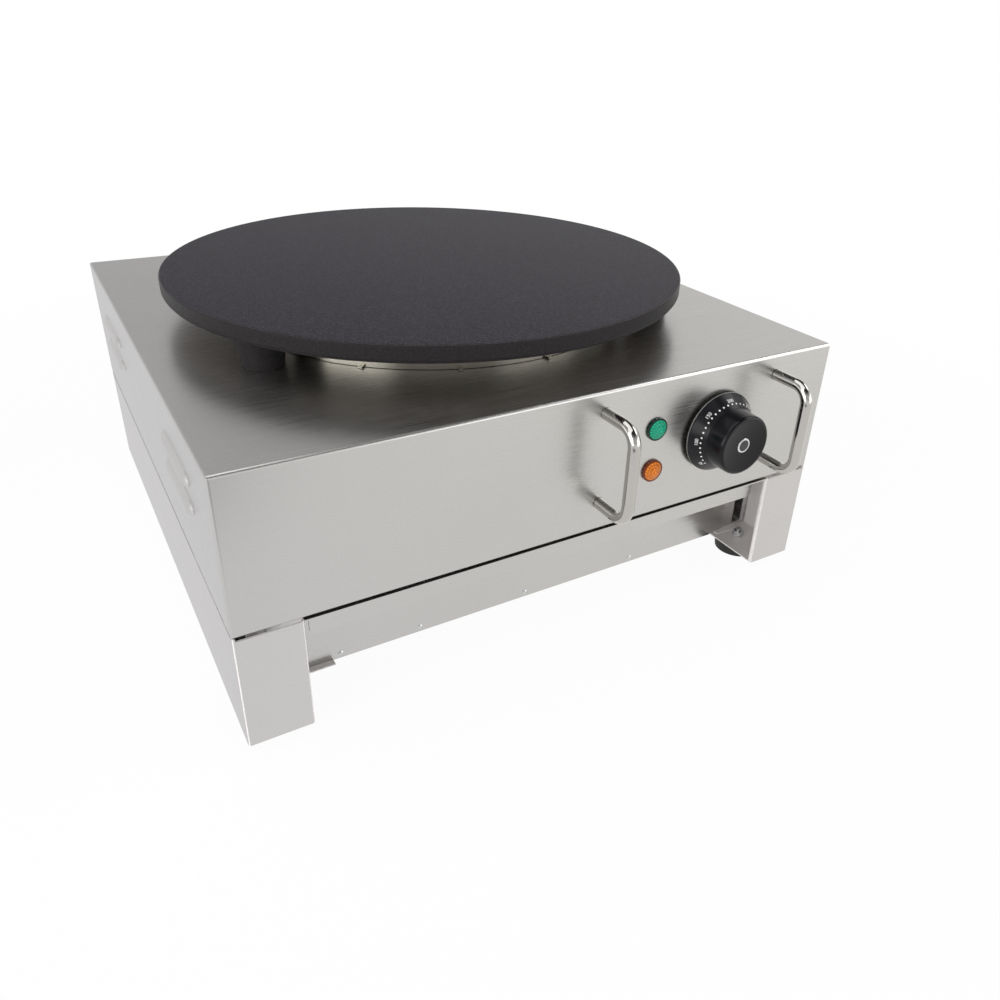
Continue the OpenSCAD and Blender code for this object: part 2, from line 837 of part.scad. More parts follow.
// Slotted plate on the flanges; its front edge is turned up behind the kick panel.
module bottom_plate() placed() color(steel) {
    vent_w = 5;
    vent_l = 60;
    vent_pitch = 16;
    vent_row_y = [-50, 90];
    upturn_h = 12;
    half_x = bottom_screw_x + 1.5 * m4[0];
    front_y = wall_y + sheet_t + seat;
    back_y = half_d - bend_r - seat;
    difference() {
        union() {
            translate([-half_x, front_y, bottom_z]) cube([2 * half_x, back_y - front_y, sheet_t]);
            translate([-kick_half, wall_y, bottom_z]) {
                cube([2 * kick_half, front_y - wall_y + eps, sheet_t]);
                cube([2 * kick_half, sheet_t, upturn_h]);
            }
        }
        for (i = [-9 : 9], y = vent_row_y) {
            translate([i * vent_pitch, y, bottom_z - eps]) {
                slot(vent_w, vent_l, sheet_t + 2 * eps, vent_w / 2);
            }
        }
        at_feet() translate([0, 0, bottom_z]) round_hole(m5[1] + 4);
        at_bottom_screws() screw_hole(m4);
        at_kick_rivets() screw_hole(rivet);
    }
}

module rear_panel() placed() color(steel) {
    half_x = leg_in_x + 10;
    mid_z = (rear_low + rear_high) / 2;
    vent_w = 4;
    vent_l = 40;
    vent_pitch = 12;
    first_vent_x = 40 - half_x;
    cut_d = 10;
    difference() {
        translate([0, half_d + seat + sheet_t, mid_z]) rotate([90, 0, 0]) {
            linear_extrude(sheet_t) round_rect(2 * half_x, rear_high - rear_low, 4);
        }
        for (i = [0 : rear_vents - 1]) {
            translate([first_vent_x + i * vent_pitch, half_d + cut_d / 2, mid_z]) rotate([90, 0, 0]) {
                slot(vent_w, vent_l, cut_d, vent_w / 2);
            }
        }
        on_rear(gland_x, gland_z) round_hole(gland_thread_d + 2 * hole_gap);
        at_rear_screws() screw_hole(m4);
    }
}

module rubber_feet() placed() color([0.06, 0.06, 0.06]) {
    at_feet() difference() {
        cylinder(d1 = foot_d - 2, d2 = foot_d, h = foot_h - seat / 3);
        translate([0, 0, -eps]) cylinder(d = m5[1] + 1, h = foot_h / 2 + eps);
        cylinder(d = m5[0] + 2 * hole_gap, h = foot_h + eps);
    }
}

foot_screw_z = foot_h / 2 - m5[2] - seat;
module foot_screws() placed() color(zinc) {
    end_z = floor_top + seat + m5_nut_h + 2;
    at_feet() translate([0, 0, foot_screw_z]) {
        cylinder(d = m5[1], h = m5[2]);
        cylinder(d = m5[0], h = end_z - foot_screw_z);
    }
}

module foot_nuts() placed() color(zinc) {
    at_feet() translate([0, 0, floor_top + seat]) hex_nut([m5[0], m5_nut_w, 0], m5_nut_h);
}

// ---- handles, lights and knob ----

module bow_handle(x) {
    run = handle_reach - rod_bend_r - seat;
    tapped_l = handle_screw_l + 2;
    difference() {
        translate([x, -half_d, handle_z]) {
            for (end = [0, 1]) translate([0, 0, end * handle_span]) mirror([0, 0, 1 - end]) {
                translate([0, rod_bend_r - handle_reach, 0]) {
                    elbow(rod_bend_r, rod_d);
                    rotate([-90, 0, 0]) cylinder(d = rod_d, h = run);
                }
            }
            translate([0, -handle_reach, rod_bend_r]) {
                cylinder(d = rod_d, h = handle_span - 2 * rod_bend_r);
            }
        }
        for (z = arm_z) {
            on_front(x, z) cylinder(d = m5[0] + 2 * hole_gap, h = tapped_l);
        }
    }
}

module left_handle() placed() color([0.85, 0.85, 0.84]) {
    bow_handle(left_handle_x);
}

module right_handle() placed() color([0.85, 0.85, 0.84]) {
    bow_handle(right_handle_x);
}

module handle_washers() placed() color(zinc) {
    at_handle_ends() translate([0, 0, -sheet_t - seat - washer_t]) washer(m5[0], m5_washer_d);
}

module handle_screws() placed() color(zinc) {
    grip = sheet_t + 2 * seat + washer_t;
    at_handle_ends() translate([0, 0, -grip]) mirror([0, 0, 1]) pan_screw(m5, grip + handle_screw_l);
}

// Domed lens with a flange that lies on the panel.
module light_lens(z) {
    flange_t = 1.6;
    round_r = 0.4;
    dome_r = lens_d / 2 - 3 * round_r;
    cap_h = lens_proud - flange_t;
    ball_r = (dome_r * dome_r + cap_h * cap_h) / (2 * cap_h);
    on_front(light_x, z) translate([0, 0, seat]) rotate_extrude() {
        square([lens_d / 2 - round_r, flange_t]);
        translate([lens_d / 2 - round_r, flange_t - round_r]) circle(round_r, $fn = 24);
        square([lens_d / 2, flange_t - round_r]);
        intersection() {
            translate([0, lens_proud - ball_r]) circle(ball_r, $fn = 128);
            square([dome_r, lens_proud]);
        }
    }
}

module green_lens() placed() color([0.02, 0.52, 0.36]) {
    light_lens(light_z[0]);
}

module amber_lens() placed() color([0.85, 0.36, 0.05]) {
    light_lens(light_z[1]);
}

module light_bodies() placed() color([0.10, 0.10, 0.10]) {
    tag = [0.8, 4.8, 8];
    for (z = light_z) on_front(light_x, z) translate([0, 0, -light_body_l]) {
        cylinder(d = light_body_d, h = light_body_l);
        for (x = [-3, 3]) translate([x - tag[0] / 2, -tag[1] / 2, 1 - tag[2]]) cube(tag);
    }
}

module light_nuts() placed() color([0.15, 0.15, 0.15]) {
    nut_w = 16;
    nut_h = 4;
    for (z = light_z) on_front(light_x, z) {
        translate([0, 0, -sheet_t - seat - nut_h]) hex_nut([light_body_d, nut_w, 0], nut_h);
    }
}

thermo_front = sheet_t + seat;
thermo_screw_l = 9;
thermo_back_y = -half_d + thermo_front + thermo_t + seat;

module thermostat_body() placed() color([0.62, 0.60, 0.55]) {
    plate = 1.5;
    bush_l = thermo_front + 0.4;
    tag = [6, 0.8, 9];
    thread_l = thermo_screw_l + 2;
    on_front(knob_x, knob_z) difference() {
        union() {
            translate([0, 0, -thermo_front - plate]) {
                linear_extrude(plate) round_rect(thermo_w, thermo_h, 3);
            }
            translate([0, 0, -thermo_front - thermo_t]) {
                linear_extrude(thermo_t - 1) round_rect(thermo_w - 6, thermo_h - 4, 2);
            }
            translate([0, 0, -thermo_front - 1]) cylinder(d = bush_d, h = bush_l + 1);
            for (x = [-12, 0, 12]) {
                translate([x - tag[0] / 2, thermo_h / 4, 1 - thermo_front - thermo_t - tag[2]]) cube(tag);
            }
        }
        translate([0, 0, -shaft_back - 1]) cylinder(d = shaft_d + 2 * run_gap, h = shaft_back + thermo_t);
        for (side = [-1, 1]) {
            translate([side * thermo_screw, 0, -thread_l]) {
                cylinder(d = m4[0] + 2 * hole_gap, h = 2 * thread_l);
            }
        }
    }
}

module thermostat_screws() placed() color(zinc) {
    on_front(knob_x, knob_z) for (side = [-1, 1]) {
        translate([side * thermo_screw, 0, seat / 3]) pan_screw(m4, thermo_screw_l);
    }
}

cap_back = dial_gap + dial_t;
disc_seat = 1;                                  // depth of the disc's recess below the hollow
shaft_end = cap_back + cap_t - dish_t - disc_seat - 3;

module thermostat_shaft() placed() color([0.75, 0.70, 0.45]) {
    on_front(knob_x, knob_z) translate([0, 0, -shaft_back]) {
        cylinder(d = shaft_d, h = shaft_end + shaft_back);
    }
}

// Sloping dial with an upright rim, hollow behind.
module dial_skirt() placed() color([0.08, 0.08, 0.09]) {
    rim_r = dial_d / 2;
    top_r = cap_d / 2 + 0.6;
    wall = 2.5;
    hub_r = shaft_d / 2 + wall;
    edge = 0.6;
    on_front(knob_x, knob_z) difference() {
        rotate_extrude() polygon([
            [0, dial_gap],
            [hub_r, dial_gap],
            [hub_r, cap_back - wall],
            [top_r - wall, cap_back - wall],
            [rim_r - wall, dial_gap],
            [rim_r, dial_gap],
            [rim_r, dial_gap + dial_rim_t - edge],
            [rim_r - edge, dial_gap + dial_rim_t],
            [top_r, cap_back - edge],
            [top_r - edge, cap_back],
            [0, cap_back]
        ]);
        cylinder(d = shaft_d + 2 * run_gap, h = cap_back + eps);
    }
}

// Round grip with a slight draft and a hollow face.
module knob_cap() placed() color([0.07, 0.07, 0.08]) {
    face_r = cap_d / 2;
    dish_r = face_r - cap_edge_r;
    side_h = cap_t - cap_edge_r;
    draft = 0.4;
    ball_r = (dish_r * dish_r + dish_t * dish_t) / (2 * dish_t);
    on_front(knob_x, knob_z) translate([0, 0, cap_back + seat / 3]) difference() {
        rotate_extrude() difference() {
            union() {
                polygon([[0, 0], [face_r + draft, 0], [face_r, side_h], [0, side_h]]);
                square([dish_r, cap_t]);
                translate([dish_r, side_h]) circle(cap_edge_r, $fn = 48);
            }
            translate([0, cap_t - dish_t + ball_r]) circle(ball_r, $fn = 256);
        }
        translate([0, 0, -eps]) cylinder(d = shaft_d + 2 * run_gap, h = shaft_end - cap_back + 1);
        translate([0, 0, cap_t - dish_t - disc_seat]) cylinder(d = disc_d + 2 * hole_gap, h = cap_t);
    }
}

// Disc let into the middle of the cap, its chamfered edge a little proud of the hollow.
disc_d = 10.8;
disc_t = 1.6;
module cap_disc() placed() color([0.75, 0.76, 0.78]) {
    chamfer = 0.3;
    on_front(knob_x, knob_z) translate([0, 0, cap_back + cap_t - dish_t - disc_seat + 2 * seat / 3]) {
        cylinder(d = disc_d, h = disc_t - chamfer);
        translate([0, 0, disc_t - chamfer]) cylinder(d1 = disc_d, d2 = disc_d - 2 * chamfer, h = chamfer);
    }
}

// ---- wiring and rear ----

block_l = 54;
block_w = 24;
block_h = 20;
block_x = gland_x - 20;
block_y = half_d - 110;
pole_x = [block_x - 16, block_x, block_x + 16];
pole_screw_y = [block_y - 7, block_y + 7];
pole_screw_sink = 8;

module at_terminals() {
    for (x = pole_x, y = pole_screw_y) {
        translate([x, y, pan_top + seat + block_h - pole_screw_sink]) children();
    }
}

module terminal_block() placed() color([0.92, 0.90, 0.85]) {
    wire_hole_d = 5;
    difference() {
        translate([block_x - block_l / 2, block_y - block_w / 2, pan_top + seat]) {
            cube([block_l, block_w, block_h]);
        }
        at_terminals() cylinder(d = 6, h = block_h);
        for (x = pole_x) {
            translate([x, block_y - block_w, pan_top + 9]) {
                rotate([-90, 0, 0]) cylinder(d = wire_hole_d, h = 2 * block_w);
            }
        }
    }
}

module terminal_screws() placed() color([0.78, 0.62, 0.30]) {
    at_terminals() translate([0, 0, seat / 3]) cylinder(d = 5.4, h = 4);
}

module cable_gland() placed() color([0.10, 0.10, 0.10]) {
    on_rear(gland_x, gland_z) difference() {
        union() {
            translate([0, 0, -gland_inside]) cylinder(d = gland_thread_d, h = gland_inside + eps);
            translate([0, 0, seat / 3]) cylinder(d = gland_hex / cos(30), h = gland_hex_t, $fn = 6);
            translate([0, 0, gland_hex_t]) cylinder(d1 = gland_hex, d2 = 0.8 * gland_hex, h = gland_dome_t);
        }
        translate([0, 0, -gland_inside - eps]) cylinder(d = gland_bore_d, h = 3 * gland_thread_d);
    }
}

module gland_locknut() placed() color([0.12, 0.12, 0.12]) {
    on_rear(gland_x, gland_z) translate([0, 0, -sheet_t - seat - locknut_t]) {
        hex_nut([gland_thread_d, 1.3 * gland_thread_d, 0], locknut_t);
    }
}

// ---- screws ----

module chassis_screws() placed() color(zinc) {
    at_chassis_screws() translate([0, 0, sheet_t + 2 * seat]) pan_screw(m3, sheet_screw_l);
}

module kick_rivets() placed() color(zinc) {
    grip = 2 * sheet_t + seat + rivet[2];
    at_kick_rivets() {
        translate([0, 0, seat / 3]) cylinder(d1 = rivet[1], d2 = rivet[0], h = rivet[2]);
        translate([0, 0, -grip]) cylinder(d = rivet[0], h = grip + seat);
    }
}

module bottom_screws() placed() color(zinc) {
    at_bottom_screws() translate([0, 0, -seat / 3]) mirror([0, 0, 1]) pan_screw(m4, sheet_screw_l);
}

module rear_panel_screws() placed() color(zinc) {
    at_rear_screws() translate([0, 0, seat / 3]) pan_screw(m4, sheet_screw_l);
}

module cover_screws() placed() color(zinc) {
    at_cover_screws() translate([0, 0, seat / 3]) pan_screw(m4, sheet_screw_l);
}

griddle_plate();
plate_bolts();
plate_washers();
heating_elements();
element_clamp();
clamp_stud();
clamp_nut();
sensor_bulb();
insulation_disc();
reflector_pan();
top_cover();
chassis_pan();
base_left();
base_right();
kick_panel();
bottom_plate();
rear_panel();
rubber_feet();
foot_screws();
foot_nuts();
left_handle();
right_handle();
handle_screws();
handle_washers();
green_lens();
amber_lens();
light_bodies();
light_nuts();
thermostat_body();
thermostat_screws();
thermostat_shaft();
dial_skirt();
knob_cap();
cap_disc();
terminal_block();
terminal_screws();
cable_gland();
gland_locknut();
chassis_screws();
kick_rivets();
bottom_screws();
rear_panel_screws();
cover_screws();
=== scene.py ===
"""Looks of an electric crepe maker: finishes, dial print, drive screws and studio round the fixed frame."""
import logging
import math
from dataclasses import dataclass, field
from typing import Any, Callable, Mapping, Sequence

import bmesh
import bpy
from bpy.types import Material, Mesh, Node, NodeSocket, Object
from mathutils import Matrix, Vector


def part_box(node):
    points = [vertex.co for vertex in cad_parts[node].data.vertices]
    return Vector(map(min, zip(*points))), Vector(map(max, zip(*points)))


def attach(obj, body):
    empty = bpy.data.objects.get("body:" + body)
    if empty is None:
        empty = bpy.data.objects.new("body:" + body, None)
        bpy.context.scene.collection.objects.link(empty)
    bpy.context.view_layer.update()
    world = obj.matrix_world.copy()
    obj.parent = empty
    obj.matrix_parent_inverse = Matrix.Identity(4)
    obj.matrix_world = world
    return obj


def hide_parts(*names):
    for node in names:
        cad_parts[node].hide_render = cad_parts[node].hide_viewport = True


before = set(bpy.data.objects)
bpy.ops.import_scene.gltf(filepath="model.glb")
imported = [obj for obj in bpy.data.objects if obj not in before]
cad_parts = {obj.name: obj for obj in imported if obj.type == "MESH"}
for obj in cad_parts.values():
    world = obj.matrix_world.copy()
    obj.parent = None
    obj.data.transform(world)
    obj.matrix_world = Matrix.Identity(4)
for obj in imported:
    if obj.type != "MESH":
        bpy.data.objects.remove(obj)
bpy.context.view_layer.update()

MM = 0.001
POLE_RADIUS = 1e-7      # a lathe's ring below this is one point on the axis
WELD = 1e-7             # vertices of a new piece closer than this are one
LOOSE_WELD = 1e-6       # the same for the frame's meshes
SMOOTH_DEG = 35.0       # edges flatter than this are shaded smooth

Colour = tuple[float, float, float]
Place = tuple[float, float, float]
Range = tuple[float, float]
WHITE: Colour = (1.0, 1.0, 1.0)
FACING: Range = (0.6, 0.8)      # part of a normal from which a face starts, and fully, looks along an axis
log = logging.getLogger("crepe_maker")


# ---- node trees ----


@dataclass(frozen=True)
class Value:
    """A number, which is an output in a node tree; arithmetic on it adds Math nodes."""

    tree: "NodeTree"
    socket: NodeSocket

    def _math(self, operation: str, *operands: Any, clamp: bool = False) -> "Value":
        """Adds one Math node.

        Args:
            operation: the node's operation.
            operands: numbers or Values, in socket order.
            clamp: keeps the result between 0 and 1.

        Returns:
            The node's result.
        """
        inputs = dict(enumerate(operands))
        node = self.tree.node("ShaderNodeMath", inputs, operation=operation, use_clamp=clamp)
        return Value(self.tree, node.outputs[0])

    def __add__(self, other: Any) -> "Value":
        """Sum."""
        return self._math("ADD", self, other)

    def __sub__(self, other: Any) -> "Value":
        """Difference."""
        return self._math("SUBTRACT", self, other)

    def __rsub__(self, other: Any) -> "Value":
        """Reflected difference."""
        return self._math("SUBTRACT", other, self)

    def __mul__(self, other: Any) -> "Value":
        """Product."""
        return self._math("MULTIPLY", self, other)

    def __truediv__(self, other: Any) -> "Value":
        """Quotient."""
        return self._math("DIVIDE", self, other)

    def __pow__(self, other: Any) -> "Value":
        """Power."""
        return self._math("POWER", self, other)

    def __gt__(self, other: Any) -> "Value":
        """1 where this is greater, else 0."""
        return self._math("GREATER_THAN", self, other)

    def __lt__(self, other: Any) -> "Value":
        """1 where this is less, else 0."""
        return self._math("LESS_THAN", self, other)

    def __abs__(self) -> "Value":
        """Absolute value."""
        return self._math("ABSOLUTE", self)

    __radd__ = __add__
    __rmul__ = __mul__

    def sine(self) -> "Value":
        """Sine of this angle."""
        return self._math("SINE", self)

    def cosine(self) -> "Value":
        """Cosine of this angle."""
        return self._math("COSINE", self)

    def arctan(self, other: "Value") -> "Value":
        """Angle whose tangent is this over the other, all the way round."""
        return self._math("ARCTAN2", self, other)

    def length(self, other: "Value") -> "Value":
        """Length of the vector with this and the other as its parts."""
        return (self * self + other * other) ** 0.5

    def clamped(self) -> "Value":
        """This kept between 0 and 1."""
        return self._math("ADD", self, 0.0, clamp=True)

    def swing(self, amount: float) -> "Value":
        """How far this noise is from its middle, 0.5, times an amount."""
        return (self - 0.5) * amount

    def step(self, low: float, high: float) -> "Value":
        """A smooth step.

        Args:
            low: input at which the step starts, at 0.
            high: input at which the step ends, at 1.

        Returns:
            A value from 0 to 1.
        """
        inputs = {0: self, 1: low, 2: high, 3: 0.0, 4: 1.0}
        node = self.tree.node("ShaderNodeMapRange", inputs, interpolation_type="SMOOTHSTEP")
        return Value(self.tree, node.outputs[0])


@dataclass
class NodeTree:
    """Adds nodes to a tree of any kind."""

    tree: bpy.types.NodeTree

    def node(self, kind: str, inputs: Mapping[int | str, Any] | None = None, **settings: Any) -> Node:
        """Adds a node of any type.

        Args:
            kind: the node's type.
            inputs: number, colour, Value or output for each input, by name or index.
            settings: attributes, which are set before the inputs.

        Returns:
            The node.
        """
        node = self.tree.nodes.new(kind)
        for name, value in settings.items():
            setattr(node, name, value)
        for name, value in (inputs or {}).items():
            self._feed(node.inputs[name], value)
        return node

    def _feed(self, socket: NodeSocket, value: Any) -> None:
        """Links or sets one input.

        Args:
            socket: the input.
            value: number, colour, Value or output.
        """
        if isinstance(value, Value):
            self.tree.links.new(value.socket, socket)
        elif isinstance(value, NodeSocket):
            self.tree.links.new(value, socket)
        elif isinstance(value, tuple) and socket.type == "RGBA":
            socket.default_value = (*value, 1.0)
        else:
            socket.default_value = value


class ShaderTree(NodeTree):
    """Builds the node tree of a material or of the world."""

    def __init__(self, owner: bpy.types.ID) -> None:
        """Empties the owner's tree.

        Args:
            owner: a material or a world.
        """
        owner.use_nodes = True
        super().__init__(owner.node_tree)
        self.tree.nodes.clear()

    def point(self, scale: Sequence[float] = (1, 1, 1),
              shift: Sequence[float] = (0, 0, 0)) -> NodeSocket:
        """The surface point in metres, scaled and moved.

        Args:
            scale: factor along each axis.
            shift: what is added after scaling.

        Returns:
            The vector output.
        """
        coord = self.node("ShaderNodeTexCoord").outputs["Object"]
        inputs = {"Vector": coord, "Location": tuple(shift), "Scale": tuple(scale)}
        return self.node("ShaderNodeMapping", inputs, vector_type="POINT").outputs[0]

    def split(self, vector: NodeSocket) -> tuple[Value, Value, Value]:
        """The three parts of a vector.

        Args:
            vector: a vector output.

        Returns:
            X, Y and Z.
        """
        node = self.node("ShaderNodeSeparateXYZ", {0: vector})
        x, y, z = (Value(self, out) for out in node.outputs)
        return x, y, z

    def normal(self) -> tuple[Value, Value, Value]:
        """Parts of the surface normal, in the object's own frame."""
        return self.split(self.node("ShaderNodeTexCoord").outputs["Normal"])

    def across(self, centre: Place) -> tuple[Value, Value]:
        """X and Z from an axis that runs along Y through a centre."""
        x, _, z = self.split(self.point(shift=[-part for part in centre]))
        return x, z

    def noise(self, scale: float | Sequence[float], detail: float = 3.0, rough: float = 0.55,
              shift: Sequence[float] = (0, 0, 0)) -> Value:
        """Fractal noise about 0.5.

        Args:
            scale: grains to the metre, for all axes or for each.
            detail: number of octaves.
            rough: weight of the finer octaves.
            shift: moves the pattern.

        Returns:
            The noise.
        """
        scales = scale if isinstance(scale, Sequence) else (scale,) * 3
        inputs = {"Vector": self.point(scales, shift), "Scale": 1.0, "Detail": detail, "Roughness": rough}
        return Value(self, self.node("ShaderNodeTexNoise", inputs).outputs[0])

    def mix(self, factor: Any, first: Any, second: Any) -> NodeSocket:
        """Mix of two colours or outputs; the factor is the share of the second."""
        # the node has a set of sockets for each data type; these are the colour's
        return self.node("ShaderNodeMix", {0: factor, 6: first, 7: second}, data_type="RGBA").outputs[2]

    def bump(self, height: Value, distance: float, strength: float = 1.0) -> NodeSocket:
        """Normal of a relief from 0 to 1, with its depth in metres and the share of it that shows."""
        inputs = {"Strength": strength, "Distance": distance, "Height": height}
        return self.node("ShaderNodeBump", inputs).outputs[0]

    def surface(self, **sockets: Any) -> None:
        """Ends the material in a Principled BSDF.

        Args:
            sockets: its inputs, with underscores for the spaces in their names.
        """
        inputs = {name.replace("_", " "): value for name, value in sockets.items()}
        shader = self.node("ShaderNodeBsdfPrincipled", inputs)
        self.node("ShaderNodeOutputMaterial", {0: shader.outputs[0]})


# ---- finishes ----


def scaled(colour: Colour, factor: float) -> Colour:
    """A colour made darker or lighter by a factor."""
    return tuple(factor * part for part in colour)


@dataclass(frozen=True)
class Finish:
    """A surface finish that makes its own material."""

    name: str

    def make(self) -> Material:
        """Makes the material.

        Returns:
            The material, ready to use.
        """
        material = bpy.data.materials.new(self.name)
        self.dress(ShaderTree(material))
        return material

    def dress(self, tree: ShaderTree) -> None:
        """Fills the material's empty tree."""
        raise NotImplementedError


@dataclass(frozen=True)
class BrushedSheet(Finish):
    """Stainless sheet brushed along its length; a plinth has a plain mill finish behind its outer skin,
    drawn paler than bare steel as painted light in the shaded leg recesses.
    """

    colour: Colour = (0.61, 0.603, 0.588)
    edge_tint: Colour = (0.86, 0.86, 0.87)
    dark_share: float = 0.8
    line_pitch: float = 0.5 * MM
    stroke_pitch: float = 0.14 * MM
    line_length: float = 70 * MM
    line_depth: float = 0.0025 * MM
    line_shade: float = 0.14
    cloud_shade: float = 0.30
    roughness: float = 0.30
    cloud_rough: float = 0.04
    smear_rough: float = 0.02
    line_rough: float = 0.05
    stroke_rough: float = 0.48
    # a duller mill finish, and partly painted light: paler than bare steel to lift the shaded recesses
    # inside the legs
    mill_colour: Colour = (0.84, 0.81, 0.80)
    mill_dullness: float = 0.80
    mill_rough: float = 0.16
    skin_x: float = 0.0
    skin_front: float = 0.0
    skin_rear: float = 0.0
    floor_reach: float = 45 * MM
    underside: float = -0.5
    cloud_scale: float = 9
    smear_scale: Place = (34, 34, 60)
    smear_shift: Place = (3, 1, 7)
    smear_range: Range = (0.52, 0.74)

    def _streaks(self, tree: ShaderTree, sideways: Value, pitch: float) -> Value:
        """Long thin noise along X, or along Y on faces that look sideways.

        Args:
            tree: the material's tree.
            sideways: 1 on faces that look along X.
            pitch: distance between streaks.

        Returns:
            The noise.
        """
        long, short = 1 / self.line_length, 1 / pitch
        along_x = tree.noise((long, short, short), detail=2.0, rough=0.6)
        along_y = tree.noise((short, long, short), detail=2.0, rough=0.6)
        return along_x * (1.0 - sideways) + along_y * sideways

    def _mill(self, tree: ShaderTree) -> Value | float:
        """1 behind the outer skin, where the brushing stops.

        Args:
            tree: the material's tree.

        Returns:
            The mask, or plain 0 for a sheet that is brushed all over.
        """
        if not self.skin_x:
            return 0.0
        x, y, _ = tree.split(tree.point())
        upward = tree.normal()[2]
        rear = self.skin_rear + upward.step(*FACING) * self.floor_reach
        return (abs(x) < self.skin_x) * (y > self.skin_front) * (y < rear) * (upward > self.underside)

    def dress(self, tree: ShaderTree) -> None:
        """Streaks, clouds and smears, and the mill finish over them.

        Args:
            tree: the empty tree.
        """
        sideways = abs(tree.normal()[0]).step(*FACING)
        streaks = self._streaks(tree, sideways, self.line_pitch)
        strokes = self._streaks(tree, sideways, self.stroke_pitch)
        clouds = tree.noise(self.cloud_scale)
        smears = tree.noise(self.smear_scale, detail=4.0, shift=self.smear_shift).step(*self.smear_range)
        shade = (streaks.swing(self.line_shade) + clouds.swing(self.cloud_shade) + 0.5).clamped()
        brushed = tree.mix(shade, scaled(self.colour, self.dark_share), self.colour)
        rough = self.roughness + clouds.swing(self.cloud_rough) + smears * self.smear_rough
        rough = rough + streaks.swing(self.line_rough) + strokes.swing(self.stroke_rough)
        mill = self._mill(tree)
        tree.surface(
            Base_Color=tree.mix(mill, brushed, self.mill_colour),
            Metallic=1.0 - mill * self.mill_dullness,
            Roughness=(rough + mill * self.mill_rough).clamped(),
            Specular_Tint=self.edge_tint,
            Normal=tree.bump(streaks, self.line_depth, strength=0.5),
        )


@dataclass(frozen=True)
class CastIron(Finish):
    """Dark cast surface: a fine blasted grain on top, coarser where it wasn't machined; level faces below
    the top are painted pale brown as painted light.
    """

    colour: Colour = (0.006, 0.004, 0.010)
    rim_colour: Colour = (0.022, 0.021, 0.021)
    under_colour: Colour = (0.32, 0.28, 0.255)
    warm_colour: Colour = (0.020, 0.014, 0.017)
    warm_share: float = 0.35
    top_z: float = 0.2296
    top_reach: float = 2 * MM
    level_range: Range = (0.75, 0.95)
    grain: float = 1.1 * MM
    pit: float = 2.2 * MM
    speck_colour: Colour = (0.082, 0.076, 0.096)
    speck_level: float = 0.49
    speck_gain: float = 5.4
    raw_gain_loss: float = 4.2
    roughness: float = 0.42
    grain_rough: float = 0.25
    raw_polish: float = 0.08
    specular: float = 0.06
    top_relief: float = 0.30
    raw_relief: float = 0.40
    pit_relief: float = 0.9
    relief_depth: float = 0.4 * MM
    cloud_scale: float = 7

    def dress(self, tree: ShaderTree) -> None:
        """Specks and relief by height and by how level the face is.

        Args:
            tree: the empty tree.
        """
        level = abs(tree.normal()[2]).step(*self.level_range)
        height = tree.split(tree.point())[2]
        top = (height > self.top_z - self.top_reach) * level
        raw = 1.0 - top
        grain = tree.noise(1 / self.grain, rough=0.7)
        pits = tree.noise(1 / self.pit, detail=4.0, rough=0.65)
        clouds = tree.noise(self.cloud_scale)
        # painted light: level faces below the top take a pale brown that stands for light thrown up onto
        # the underside by the steel sheet below
        tone = tree.mix(top, tree.mix(level, self.rim_colour, self.under_colour), self.colour)
        speck = ((grain - self.speck_level) * (self.speck_gain - self.raw_gain_loss * raw)).clamped()
        body = tree.mix(speck, tone, self.speck_colour)
        relief = grain * (self.top_relief + self.raw_relief * raw) + pits * raw * self.pit_relief
        tree.surface(
            Base_Color=tree.mix((clouds * self.warm_share).clamped(), body, self.warm_colour),
            Metallic=0.0,
            Roughness=self.roughness + grain.swing(self.grain_rough) - raw * self.raw_polish,
            Specular_IOR_Level=self.specular,
            Normal=tree.bump(relief, self.relief_depth, strength=0.8),
        )


@dataclass(frozen=True)
class PlainMetal(Finish):
    """Solid metal with fine random scratches: bar, plated screws, foil and tube."""

    colour: Colour
    roughness: float
    mottle: float
    grain: float = 1.2 * MM
    stretch: Place = (1.0, 1.0, 1.0)
    depth: float = 0.01 * MM
    dark_share: float = 0.45
    mottle_level: float = 0.6
    fine_share: float = 0.8
    fine_rough: float = 0.12
    cloud_rough: float = 0.08
    cloud_scale: float = 60

    def dress(self, tree: ShaderTree) -> None:
        """Flecks and clouds in colour and roughness.

        Args:
            tree: the empty tree.
        """
        fine = tree.noise([part / self.grain for part in self.stretch], rough=0.65)
        clouds = tree.noise(self.cloud_scale)
        flecks = (self.mottle_level - fine) * self.fine_share * self.mottle
        shade = (flecks + (self.mottle_level - clouds) * self.mottle).clamped()
        tree.surface(
            Base_Color=tree.mix(shade, self.colour, scaled(self.colour, self.dark_share)),
            Metallic=1.0,
            Roughness=self.roughness + fine.swing(self.fine_rough) + clouds.swing(self.cloud_rough),
            Normal=tree.bump(fine, self.depth, strength=0.5),
        )


